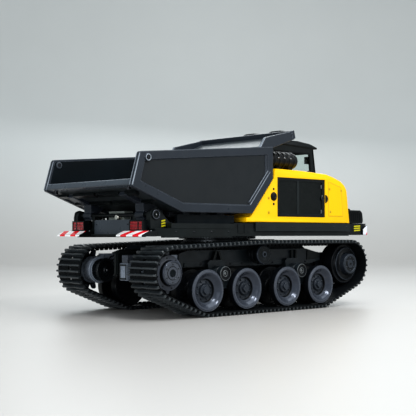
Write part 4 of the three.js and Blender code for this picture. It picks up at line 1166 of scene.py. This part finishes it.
def roof():
    p = Piece("roof")
    top = rounded([(80.6, 223), (170, 219.4), (181.2, 219.6), (181.4, 222.2), (166, 226.8), (140, 229.4),
        (104, 229.8), (82, 228.6)], [1.5, 4, 0.8, 1.4, 16, 20, 20, 3], 5)
    p.swell("y", top, ((-19.4, 1.6), (-18.8, 0.5), (-17.6, 0), (85.6, 0), (86.8, 0.5), (87.4, 1.6)))
    for y in (-4, 72):
        p.prism("y", [(90, 229), (112, 229.4), (110, 231.2), (92, 231)], y - 2, y + 2)
    p.prism("y", rounded([(94, 228.6), (116, 229.2), (113.6, 232), (97, 231.6)], [0, 0, 1.4, 1.4]), 18, 50)
    p.slot = 1
    for k in range(6):
        p.box(99 + k * 2.4, 100.2 + k * 2.4, 21, 47, 231.2, 232.2)
    p.done("upper", "roof rubber_in", 0.35, "cab_roof", 34)


def cab_panes():
    p = Piece("pane_right")
    p.prism("y", inset([(93, 168), (168.6, 168), (165.2, 212), (93, 213)], 0.2), -17, -15.9)
    p.done("upper", "glass", 0.2, "cab_glass_right")
    p = Piece("pane_front")
    hole = rect(-10.8, 78.8, 153.2, 212.8)
    p.loft([screen_face(hole, 1.9), screen_face(hole, 0.8)])
    p.done("upper", "glass", 0.2, "cab_glass_front")
    p = Piece("pane_rear")
    p.prism("x", rect(-7.8, 75.8, 184.2, 213.8), 84.8, 85.9)
    p.done("upper", "glass", 0.2, "cab_glass_rear")


def cab_door():
    p = Piece("cab_door_leaf")
    light = [(103, 158), (162, 158), (162.4, 162), (159.6, 207.4), (103, 209), (103, 204)]
    p.frame("y", inset(DOORWAY, 0.4), light, 83.9, 86.6)
    p.slot = 1
    p.frame("y", inset(light, -1.1), inset(light, 0.8), 86.3, 87.2)
    p.box(103, 162, 86.2, 87, 124, 126)
    p.box(103, 162, 86.2, 87, 150, 152)
    p.pipe([(156, 86.2, 140), (156, 88.6, 140.6), (156, 88.8, 146), (156, 88.6, 151.4),
        (156, 86.2, 152)], 0.9, 12, 5)
    for z in (130, 196):
        p.rod("z", (97.6, 86.6), z - 3.5, z + 3.5, 1.1, 16, 0.3)
    p.slot = 2
    p.prism("y", inset(light, 0.2), 84.8, 85.8)
    p.done("cab_door", "black rubber_in glass", 0.3, "cab_door", 34)


def seat():
    p = Piece("operator_seat")
    p.box(106, 130, 22, 46, 112.6, 124)
    p.slot = 1
    p.prism("y", rounded([(98, 130), (136, 129), (138, 134), (136, 140), (120, 138.4),
        (100, 140)], 3, 4), 15, 53)
    p.prism("y", rounded([(95, 138), (105, 138), (99.6, 172), (98, 181), (90.6, 181),
        (91, 160)], 3, 4), 17, 51)
    for y in (12.4, 51.2):
        p.prism("y", rounded([(104, 149), (130, 150), (130, 153.4), (104, 153)], 1.5, 3), y, y + 4.4)
        p.box(106, 109, y + 1.4, y + 3, 136, 150)
    p.slot = 0
    for y in (16, 52.6):
        p.pipe([(128, y, 152), (130, y, 158), (129.4, y, 164)], 1.1, 12, 4)
        p.turn("z", (129.4, y), [(0, 163), (1.8, 164), (2.4, 167), (1.6, 169.6), (0, 170)], 20)
    p.box(94, 134, 21, 47, 124, 130)
    p.done("upper", "black seat", 0.9, "cab_seat", 36, segments=3)


def console():
    p = Piece("instrument_console")
    p.box(153, 167, 25, 43, 112.6, 142)
    p.prism("y", rounded([(148, 141), (170, 141), (170.4, 147), (152, 152.4)], 1.2, 3), 18, 50)
    p.pipe([(150, 34, 151), (144.6, 34, 158)], 1.4, 12, 1)
    # steering wheel: a ring of about 1 mm section, leaning toward the seat
    turns = [TAU * k / 40 for k in range(40)]
    wheel = [Vector((143.9 + 3.06 * math.cos(a), 34 + 10 * math.sin(a),
        158.4 + 9.4 * math.cos(a))) for a in turns]
    up = Vector((0.94, 0, -0.34))
    rings = []
    for k, c in enumerate(wheel):
        w = (wheel[(k + 1) % 40] - wheel[k - 1]).cross(up).normalized()
        rings.append([tuple(c + up * math.cos(a) + w * math.sin(a)) for a in turns[::4]])
    p.loft(rings, True)
    p.slot = 1
    p.prism("y", [(151.4, 151.8), (152.2, 152.2), (169.4, 147.4), (168.8, 146.6)], 22, 46)
    p.done("upper", "black screen", 0.4, "cab_console")


def tank():
    p = Piece("hydraulic_reservoir")
    body = rounded(rect(14, 84, 112.4, 164), [0.6, 0.6, 5, 5], 6)
    p.swell("x", body, ((26, 1.6), (26.6, 0.5), (28, 0), (76, 0), (77.4, 0.5), (78, 1.6)))
    for x in (35, 66):
        p.frame("x", inset(body, -0.7), inset(body, 1), x, x + 3.4)
    p.prism("y", rounded(rect(40, 62, 132, 158), 2.5, 4), 83.6, 84.6)
    p.box(30, 74, 84, 90, 112.3, 114.4)
    p.slot = 1
    p.turn("z", (50, 62), [(0, 163), (8.4, 163), (8.4, 165), (7, 165.6), (7, 169),
        (6.2, 170), (0, 170)], 36)
    p.slot = 2
    p.box(69.6, 72.6, 84.2, 85.6, 124, 152)
    for x, z in ((42, 134), (60, 134), (42, 156), (60, 156)):
        p.bolt("y", (x, z), 84.6, 1, 1.1, 0.8, "socket")
    for y in (30, 46):
        p.rod("z", (66, y), 163.6, 168.5, 3.4, 6, 0.4)
    p.slot = 1
    for y in (30, 46):
        p.pipe([(66, y, 167), (65, y, 172), (58, y - 4, 174), (46, y - 12, 171), (36, y - 20, 160),
            (30, 8, 148)], 1.9, 14, 5)
    p.done("upper", "deck_light black nickel", 0.3, "hydraulic_tank", 34)


def roof_lamps():
    for side, y in (("right", 8), ("left", 60)):
        p = Piece(f"lamp_{side}")
        p.prism("y", [(124.6, 229.3), (135.6, 229.1), (135, 234.5), (125.4, 234.5)], y - 4, y + 4)
        p.turn("y", (130, 233.6), rect(0, 2.6, y - 5.6, y + 5.6), 24)
        outer = rounded([(120.2, 234.6), (136.6, 234.6), (137.4, 239), (136.4, 243.6), (122, 243.8),
            (120, 241.4)], [1.4, 1, 1.4, 1, 1.4, 1.4], 4)
        p.swell("y", outer, ((y - 12, 0.6), (y - 11.4, 0), (y + 11.4, 0), (y + 12, 0.6)))
        p.slot = 1
        lens = rounded(rect(y - 10, y + 10, 235.8, 242.6), 1.4, 4)
        p.prism("x", lens, 136.2, 138, inset(lens, 0.8))
        p.slot = 2
        for k in range(5):
            p.box(122.4 + k * 2.6, 123.4 + k * 2.6, y - 9, y + 9, 243.2, 244.4)
        p.done("upper", "rubber_in amber rubber_in", 0.25, f"roof_lamp_{side}", 34)


# ------------------------------------------------------------------ front and rear fittings
def locker():
    p = Piece("front_locker")
    for x, y0, y1 in ((171.6, -84, -18.6), (180.5, -18.4, 84)):
        outline = rounded([(x, 112.3), (202.6, 112.3), (204, 116), (202.4, 127.4), (198, 130.6),
            (x, 130.6)], [0.5, 1, 2, 4, 3, 0.5], 4)
        p.swell("y", outline, ((y0, 0.9), (y0 + 0.9, 0), (y1 - 0.9, 0), (y1, 0.9)))
    p.slot = 1
    for k in range(6):
        x = 173.6 + k * 4.4
        p.box(x, x + 2.6, -84.6, -83.6, 114.6, 128.6 - max(0, k - 4) * 1.5)
    for y in range(-76, 80, 12):
        p.prism("y", [(202.4, 115), (204.2, 115.6), (203.2, 126), (201.4, 126.4)], y, y + 7)
    for y in (-62, -34, 4, 34, 62):
        p.prism("y", rounded([(186, 130.2), (197, 130.2), (196, 132.2), (187, 132.2)],
            [0, 0, 1, 1]), y - 5, y + 5)
    p.rod("y", (178, 131.2), -80, -24, 1.6, 20, 0.4)
    p.done("upper", "black rubber_in", 0.3, "front_box", 34)


def bumper():
    p = Piece("bumper")
    section = [(171.3, 96), (197, 96), (200, 99), (200, 104.2), (209, 110.4), (210, 111.2),
        (210, 112), (171.3, 112)]
    p.swell("y", section, ((-84, 0.7), (-83.3, 0), (83.3, 0), (84, 0.7)))
    p.slot = 1
    for y in (-76, -52, -26, 0, 26, 52, 76):
        p.bolt("x", (y, 101.6), 200, 1, 1.4, 1, "socket")
    for x in (176, 196):
        for s in (-1, 1):
            p.bolt("y", (x, 98.2), s * 84, s, 1, 0.6, "dome")
    for y in (-58, 58):
        p.turn("y", (203.6, 104), rect(1.7, 3.4, y - 1.4, y + 1.4), 24)
    p.slot = 2
    for s in (-1, 1):
        striped_plate(p, (181.6, 197), (100.4, 110.8), s * 83.9, s, 0, 2)
    p.done("upper", "black screw_dark lemon", 0.35, "front_bumper")


def rear_plate(side, sign):
    p = Piece(f"rear_plate_{side}", sign)
    p.prism("y", [(-194.4, 94.8), (-172.3, 94.8), (-172.3, 100.9), (-184, 100.9),
        (-194.4, 96.4)], 37.3, 83.6)
    p.slot = 1
    p.prism("y", [(-194, 96.65), (-184.2, 100.95), (-184, 101.25), (-194.3, 96.75)], 37, 84)
    p.prism("y", rect(-194.6, -194.3, 94.7, 96.5), 37, 84)
    p.slot = 2
    for y in (40, 79):
        p.bolt("z", (-177, y), 100.9, 1, 1.2, 0.8, "socket")
    p.done("upper", f"black stripe_{side} screw", 0.12, f"rear_marker_{side}")


def front_plate(side, sign):
    p = Piece(f"front_plate_{side}", sign)
    section = [(200.3, 96.2), (208.6, 96.2), (209.4, 97.2), (209.4, 109.8), (208.6, 109.6), (200.3, 103.9)]
    p.prism("y", section, 36.4, 86)
    p.slot = 1
    p.prism("x", rect(36.8, 85.8, 96.8, 109.2), 209.3, 209.9)
    p.slot = 2
    p.prism("y", inset(section, 0.3), 85.9, 86.5)
    p.slot = 3
    p.prism("y", [(206.2, 96.6), (209, 96.6), (209, 100.4)], 86.4, 86.7)
    p.done("upper", f"black stripe_{side} white red_paint", 0.1, f"front_marker_{side}")


def tail_light(side, sign):
    p = Piece(f"lamp_tail_{side}", sign)
    case = [(-180.9, 101.2), (-172.3, 101.2), (-172.3, 110.5), (-175.5, 113.5), (-180.9, 113.5)]
    p.prism("y", case, 45, 70)
    rim = rect(45, 70, 101.2, 113.5)
    p.frame("x", rim, inset(rim, 1.5), -182, -180.6)
    p.box(-181.8, -180.6, 60.4, 62, 102, 113)
    for z in (105.4, 108.9):
        p.box(-181.9, -180.6, 45.6, 69.4, z - 0.2, z + 0.2)
    p.slot = 1
    for y0, y1 in ((46.3, 60.4), (62, 68.7)):
        p.box(-181.4, -180.7, y0, y1, 102.5, 112.2)
        y = y0 + 0.7
        while y < y1 - 0.5:
            p.prism("z", [(-181.3, y - 0.45), (-181.75, y), (-181.3, y + 0.45), (-180.9, y)], 102.6, 112.1)
            y += 1.4
    p.slot = 2
    p.pipe([(-173, 57, 106), (-169, 57, 105), (-163, 50, 104.6)], 0.8, 10, 4)
    p.done("upper", "black red hose", 0.12, f"tail_light_{side}")


for build in (deck, hinge_shaft, hood, fuel_cap, engine_door, engine, air_filter, cab_walls, roof,
        cab_panes, cab_door, seat, console, tank, roof_lamps, locker, bumper):
    build()
for side, sign in SIDES:
    rear_plate(side, sign)
    front_plate(side, sign)
    tail_light(side, sign)


# ------------------------------------------------------------------ dump bed
BED = [(-200.8, 189.7), (-211.6, 150.5), (-138, 123), (-23, 123), (14.2, 167.3), (14.2, 208.2)]
FLOOR = [(-208.6, 156.4), (-137, 127), (-24.6, 127), (11, 168.6), (11, 207.5)]


def ribbon(path, near, far):
    """The strip between two offsets of an open path, to the right of its direction."""
    def shifted(d):
        out = []
        for i, (x, z) in enumerate(path):
            a = Vector(path[i]) - Vector(path[max(i - 1, 0)]) if i else Vector(path[1]) - Vector(path[0])
            b = Vector(path[min(i + 1, len(path) - 1)]) - Vector(path[i]) if i < len(path) - 1 else a
            a, b = a.normalized(), b.normalized()
            na, nb = Vector((a.y, -a.x)), Vector((b.y, -b.x))
            bis = (na + nb).normalized()
            out.append((x + bis.x * d / bis.dot(na), z + bis.y * d / bis.dot(na)))
        return out
    return shifted(near) + shifted(far)[::-1]


def bed_ring(distance, shrink=0):
    """The bed's side outline, moved inwards, with its corners rounded."""
    return rounded(inset(BED, distance), [max(0.3, r - shrink) for r in (3.2, 1.2, 2.5, 2.5, 1.5, 1.2)], 4)


def bed_side(p, s):
    """One side wall with its framed panel, stiffener, thin light strips on its edges as painted highlights,
    lifting bosses and gusset.
    """
    p.slot = 0
    rings = [[(x, s * y, z) for x, z in bed_ring(d, e)] for y, d, e in ((83.2, 0.6, 0.2), (83.8, 0, 0),
        (88.3, 0, 0), (89, 0.8, 0.3), (89, 9.4, 2.6), (87.2, 10.9, 2.8))]
    p.loft(rings)
    # the recessed outside panel and the plain inside sheet
    p.slot = 1
    panel = bed_ring(10.8, 2.8)
    p.prism("y", panel, s * 86.9, s * 87.35)
    p.slot = 2
    p.prism("y", bed_ring(2.6, 0.6), s * 83, s * 83.35)
    # stiffener along the slanted front, with two thin light strips on its edges as painted highlights
    p.slot = 0
    foot = Vector(BED[3])
    u = (Vector(BED[4]) - foot).normalized()
    v = Vector((-u.y, u.x))
    base = foot + u * 4.2

    def strip(a, b, t0, t1, y0, y1):
        quad = [base + v * a + u * t0, base + v * b + u * t0, base + v * b + u * t1, base + v * a + u * t1]
        p.prism("y", [tuple(q) for q in quad], s * y0, s * y1)
    strip(9.7, 14, 2, 55.6, 87, 88.4)
    p.slot = 5
    strip(9.7, 10.3, 1, 56.4, 87, 89.2)
    strip(13.3, 13.9, 3.4, 55, 87, 89)
    p.slot = 0
    p.box(0.2, 3.2, s * 87, s * 88.2, 172, 196.6)
    # two thin light strips down the rear corner as painted edge highlights, then the lifting bosses outside
    # and in, the outer ones with a light rim band as painted highlight
    p.slot = 5
    for y in (83.5, 88.2):
        p.prism("y", [(-201.6, 187.6), (-200.4, 187.6), (-210.8, 152), (-212, 152)], s * y, s * (y + 0.7))
    p.slot = 0
    p.turn("y", (-189.6, 183.4), [(0, s * 86), (4.4, s * 86), (4.4, s * 89.6), (4, s * 90.4, 5),
        (3.2, s * 90.6, 5), (2.8, s * 90.2, 3), (2.6, s * 89.4, 3), (1.7, s * 89.4, 3), (1.5, s * 90.1, 3),
        (0, s * 90.2, 3)], 32)
    p.turn("y", (-193.4, 183.4), [(0, s * 84), (4.2, s * 84), (4.2, s * 82.4), (3.8, s * 81.8, 7),
        (2.8, s * 81.7, 3), (2.5, s * 82.2, 3), (0, s * 82.2, 3)], 32)
    # gussets of the headboard
    gusset = [(-9.5, 205.2), (13.4, 205.2), (14.2, 206.6), (55.5, 220.6), (53.2, 231.5), (-0.4, 218.8)]
    p.swell("y", gusset, ((s * 84.4, 0.7), (s * 85, 0), (s * 88, 0), (s * 88.6, 0.6)))
    # a thin light strip along the gusset's edge: painted highlight
    p.slot = 5
    p.prism("y", [(-9.2, 206.4), (-8.2, 206), (0.4, 218.2), (-0.4, 218.8)], s * 86, s * 88.9)
    p.slot = 0
    p.bolt("y", (49.6, 226.4), s * 89, s, 1.5, 0.9, "dome")


def bed_sheets(p):
    """Floor and tail, headboard, its ribs, and the tail lip."""
    p.slot = 2
    p.prism("y", ribbon(FLOOR, 0, 2), -83.4, 83.4)
    p.slot = 4
    p.prism("y", ribbon(FLOOR, 1.9, 4), -83.3, 83.3)
    head = [(11.2, 206.4), (14.2, 206.4), (55.2, 219.9), (53, 231.2), (50.4, 230.6),
        (51.2, 225.2), (11.2, 208.4)]
    p.prism("y", head, -85, 85)
    p.slot = 0
    p.prism("y", rounded([(50.9, 221.2), (56.4, 221.6), (53.6, 232.1), (49.2, 231.1)], 0.7, 3), -89, 89)
    p.prism("y", rounded([(9.8, 205.2), (15.2, 205.2), (15.2, 210.4), (9.8, 209.6)], 0.8, 3), -84, 84)
    for y in (-56, -19, 19, 56):
        p.prism("y", [(15, 204), (53.5, 216.4), (55, 219.6), (15, 207.6)], y - 1.6, y + 1.6)
    for y in (-60, -20, 20, 60):
        p.prism("y", [(14.4, 172), (17, 176), (17, 203), (14.4, 205)], y - 3, y + 3)
    # tail lip: a rounded beam along the rear edge
    lip = rounded([(-211.6, 152.2), (-208.6, 158.9), (-203, 158.6), (-199.2, 156.6), (-200.4, 149)],
        [1.2, 1.6, 1.6, 1, 1], 4)
    p.slot = 7
    p.prism("y", lip, -83.6, 83.6)
    # a thin light strip along the lip's top: painted highlight
    p.slot = 5
    p.prism("y", [(-208.4, 158.5), (-207.6, 159.1), (-203.2, 158.9), (-203.2, 158.3)], -83.4, 83.4)
    p.slot = 0


def bed_frame(p, s):
    """One half of the frame under the bed, with the hinge arm and the hoist's cheek."""
    slope = Vector((-72, 27.5)).normalized()
    down = Vector((-slope.y, slope.x))
    start = Vector(BED[2])

    def under(s0, s1, depth, y0, y1):
        quad = [start + slope * s0 - down * 0.6, start + slope * s0 + down * depth,
            start + slope * s1 + down * depth, start + slope * s1 - down * 0.6]
        p.prism("y", [tuple(q) for q in quad], *sorted((y0, y1)))

    under(3, 62, 3.4, s * 46, s * 57)
    # cross channels under the slope in the black material: painted shade for the dark slot under the bed
    p.slot = 6
    for a, b in ((57, 64), (34, 38)):
        under(a, b, 2.8, s * 57, s * 76)
        under(a, b, 2.8, s * 2, s * 46)
    p.slot = 0
    arm = [(-171, 114.4), (-160.4, 114.4), (-159.4, 124), (-152, 129.4), (-150, 128.6), (-172.6, 137.5)]
    p.prism("y", arm, s * 44.2, s * 58.8)
    p.turn("y", BED_HINGE, [(3.8, s * 44), (5.2, s * 44), (5.6, s * 44.4), (5.6, s * 58.6), (5.2, s * 59),
        (3.8, s * 59)], 36)
    # flat floor: long beams, cross members, side rails
    p.box(-137, -50, s * 20, s * 26, 116.6, 123.2)
    p.box(-137, -48, s * 60, s * 64, 117.6, 123.2)
    for x in (-118, -91, -64):
        p.box(x - 4, x + 4, s * 24, s * 72, 119.2, 123.2)
    for x in (-126, -100, -74, -48):
        p.bolt("y", (x, 120), s * 64, s, 1.2, 0.8)
    # cheeks that hold the hoist eye
    cheek = rounded([(-55, 123.4), (-51, 111), (-41, 111), (-37, 123.4)], [0, 4, 4, 0], 5)
    p.prism("y", cheek, s * 8.1, s * 11)
    p.turn("y", HOIST_EYE, [(0, s * 10.6), (3.4, s * 10.6), (3.4, s * 12.6), (3, s * 13), (1.3, s * 13),
        (1.1, s * 12.7), (0, s * 12.7)], 28)
    # rubber pads below the tail lip
    p.slot = 3
    p.turn("z", (-204, s * 73), [(0, 151), (2.4, 151), (2.4, 147.4), (1.8, 146.4), (0, 146.2)], 24)
    p.slot = 0


def bed():
    p = Piece("bed_tub")
    for s in (-1, 1):
        bed_side(p, s)
    bed_sheets(p)
    for s in (-1, 1):
        bed_frame(p, s)
    p.done("dump_bed", "bed bed_panel bed_inside screw_dark bed_slope bed_edge black bed_lip", 0.45,
        "dump_bed", 28, segments=3)


# ------------------------------------------------------------------ hoist
def hoist():
    """Barrel and rod, made level from the foot and then turned to point at the eye."""
    (x, z), (eye_x, eye_z) = HOIST_FOOT, HOIST_EYE
    length = math.dist(HOIST_FOOT, HOIST_EYE)
    tilt = -math.degrees(math.atan2(eye_z - z, eye_x - x))
    p = Piece("hoist_cylinder")
    p.turn("x", (0, z), [(0, x + 4), (4.6, x + 4), (5.6, x + 5), (5.6, x + 9), (6, x + 9.4), (6, x + 13),
        (5.6, x + 13.4), (5.6, x + 64), (6.2, x + 64.4), (6.2, x + 72), (5.6, x + length - 20),
        (3.4, x + length - 20), (3.4, x + 14), (0, x + 14)], 40)
    p.turn("y", (x, z), [(0, -7.5), (2.6, -7.6), (2.8, -7.2), (4.4, -7.2), (5, -6.6), (5, 6.6), (4.4, 7.2),
        (2.8, 7.2), (2.6, 7.6), (0, 7.5)], 32)
    p.slot = 1
    for u in (x + 11.4, x + 68):
        p.rod("z", (u, 0), z + 4.6, z + 8, 2, 6, 0.3)
    p.pipe([(x + 68, 0, z + 7.4), (x + 64, 0, z + 9.6), (x + 52, 0, z + 9.2), (x + 24, 0, z + 8.6),
        (x + 15, 0, z + 9), (x + 12, 0, z + 7.4)], 0.9, 10, 5)
    p.spin("y", (x, 0, z), tilt)
    p.done("hoist_barrel", "cast nickel", 0.2, "hoist_barrel", 36)
    p = Piece("hoist_ram")
    p.turn("x", (0, z), [(0, x + 15.5), (3, x + 15.5), (3, x + length - 6), (3.6, x + length - 5),
        (3.6, x + length - 2), (0, x + length - 2)], 32)
    p.turn("y", (x + length, z), [(0, -7.3), (2.2, -7.4), (2.4, -7), (3.8, -7), (4.3, -6.5), (4.3, 6.5),
        (3.8, 7), (2.4, 7), (2.2, 7.4), (0, 7.3)], 32)
    p.spin("y", (x, 0, z), tilt)
    p.done("hoist_rod", "chrome", 0.15, "hoist_rod", 36)


bed()
hoist()


# ------------------------------------------------------------------ stage, light and camera
def stage():
    """A floor that curves up into a wall behind the object, square to the camera."""
    start, depth, top, half = -6.0, 1.6, 5.4, 6.0
    bend, below = 0.9, 0.00005
    curve = [math.pi / 2 * k / 24 for k in range(25)]
    profile = [(start, 0), *((depth + bend * math.sin(a), bend - bend * math.cos(a)) for a in curve),
        (depth + bend, top)]
    verts = [(x, y, z - below) for y in (-half, half) for x, z in profile]
    n = len(profile)
    mesh = bpy.data.meshes.new("floor")
    mesh.from_pydata(verts, [], [(i, i + 1, n + i + 1, n + i) for i in range(n - 1)])
    for face in mesh.polygons:
        face.use_smooth = True
    obj = bpy.data.objects.new("floor", mesh)
    obj.rotation_euler = (0, 0, math.radians(VIEW_YAW))
    bpy.context.scene.collection.objects.link(obj)
    n = Nodes("pale_floor")
    ground = n.mix(n.noise(3, 3), (0.375, 0.36, 0.345), (0.41, 0.395, 0.38))
    wall = n.mix(n.noise(3, 3), (0.63, 0.64, 0.63), (0.68, 0.69, 0.68))
    n.shade(Base_Color=n.mix(n.ramp(n.position()["Z"], 0.02, 0.45), ground, wall), Roughness=0.42)
    mesh.materials.append(n.material)


def area(name, position, target, size, power, color=(1, 1, 1), size_y=None):
    data = bpy.data.lights.new(name, "AREA")
    data.energy = power
    data.color = color
    data.size = size
    if size_y:
        data.shape = "RECTANGLE"
        data.size_y = size_y
    obj = bpy.data.objects.new(name, data)
    obj.location = position
    obj.rotation_euler = (Vector(target) - Vector(position)).to_track_quat("-Z", "Y").to_euler()
    bpy.context.scene.collection.objects.link(obj)


VIEW_YAW, VIEW_PITCH = 47.3, 1.6
stage()
area("key_overhead", (0.1, -0.2, 1.5), (0, 0, 0.1), 1.6, 21, (0.95, 0.985, 1.0))
area("window_back", (1.4, 1.3, 1.3), (0, 0, 0.1), 1.8, 17, (0.93, 0.975, 1.0), 1.2)
area("fill_camera", (-1.5, -1.0, 0.9), (0, 0, 0.1), 1.2, 5)
area("fill_right", (0.9, -1.5, 0.8), (0, 0, 0.1), 1.2, 5)
area("fill_low", (-1.5, -0.45, 0.14), (0, 0, 0.08), 0.7, 3, (0.95, 0.98, 1.0), 0.25)
area("side_strip", (-0.2, -1.15, 1.15), (0, -0.08, 0.05), 0.45, 9, (1, 1, 1), 0.16)

world = bpy.data.worlds.new("studio")
world.use_nodes = True
world.node_tree.nodes["Background"].inputs["Color"].default_value = (0.76, 0.84, 0.88, 1)
world.node_tree.nodes["Background"].inputs["Strength"].default_value = 0.62
bpy.context.scene.world = world

camera_data = bpy.data.cameras.new("camera")
camera_data.lens = 79.2
camera_data.sensor_width = 36
camera_data.clip_start = 0.01
camera = bpy.data.objects.new("camera", camera_data)
camera.location = (-0.8315, -0.8834, 0.0981)
camera.rotation_euler = Euler((math.radians(90 + VIEW_PITCH), 0, math.radians(VIEW_YAW - 90)), "XYZ")
bpy.context.scene.collection.objects.link(camera)
bpy.context.scene.camera = camera
bpy.context.scene.view_settings.view_transform = "Standard"
bpy.context.scene.view_settings.look = "Medium High Contrast"
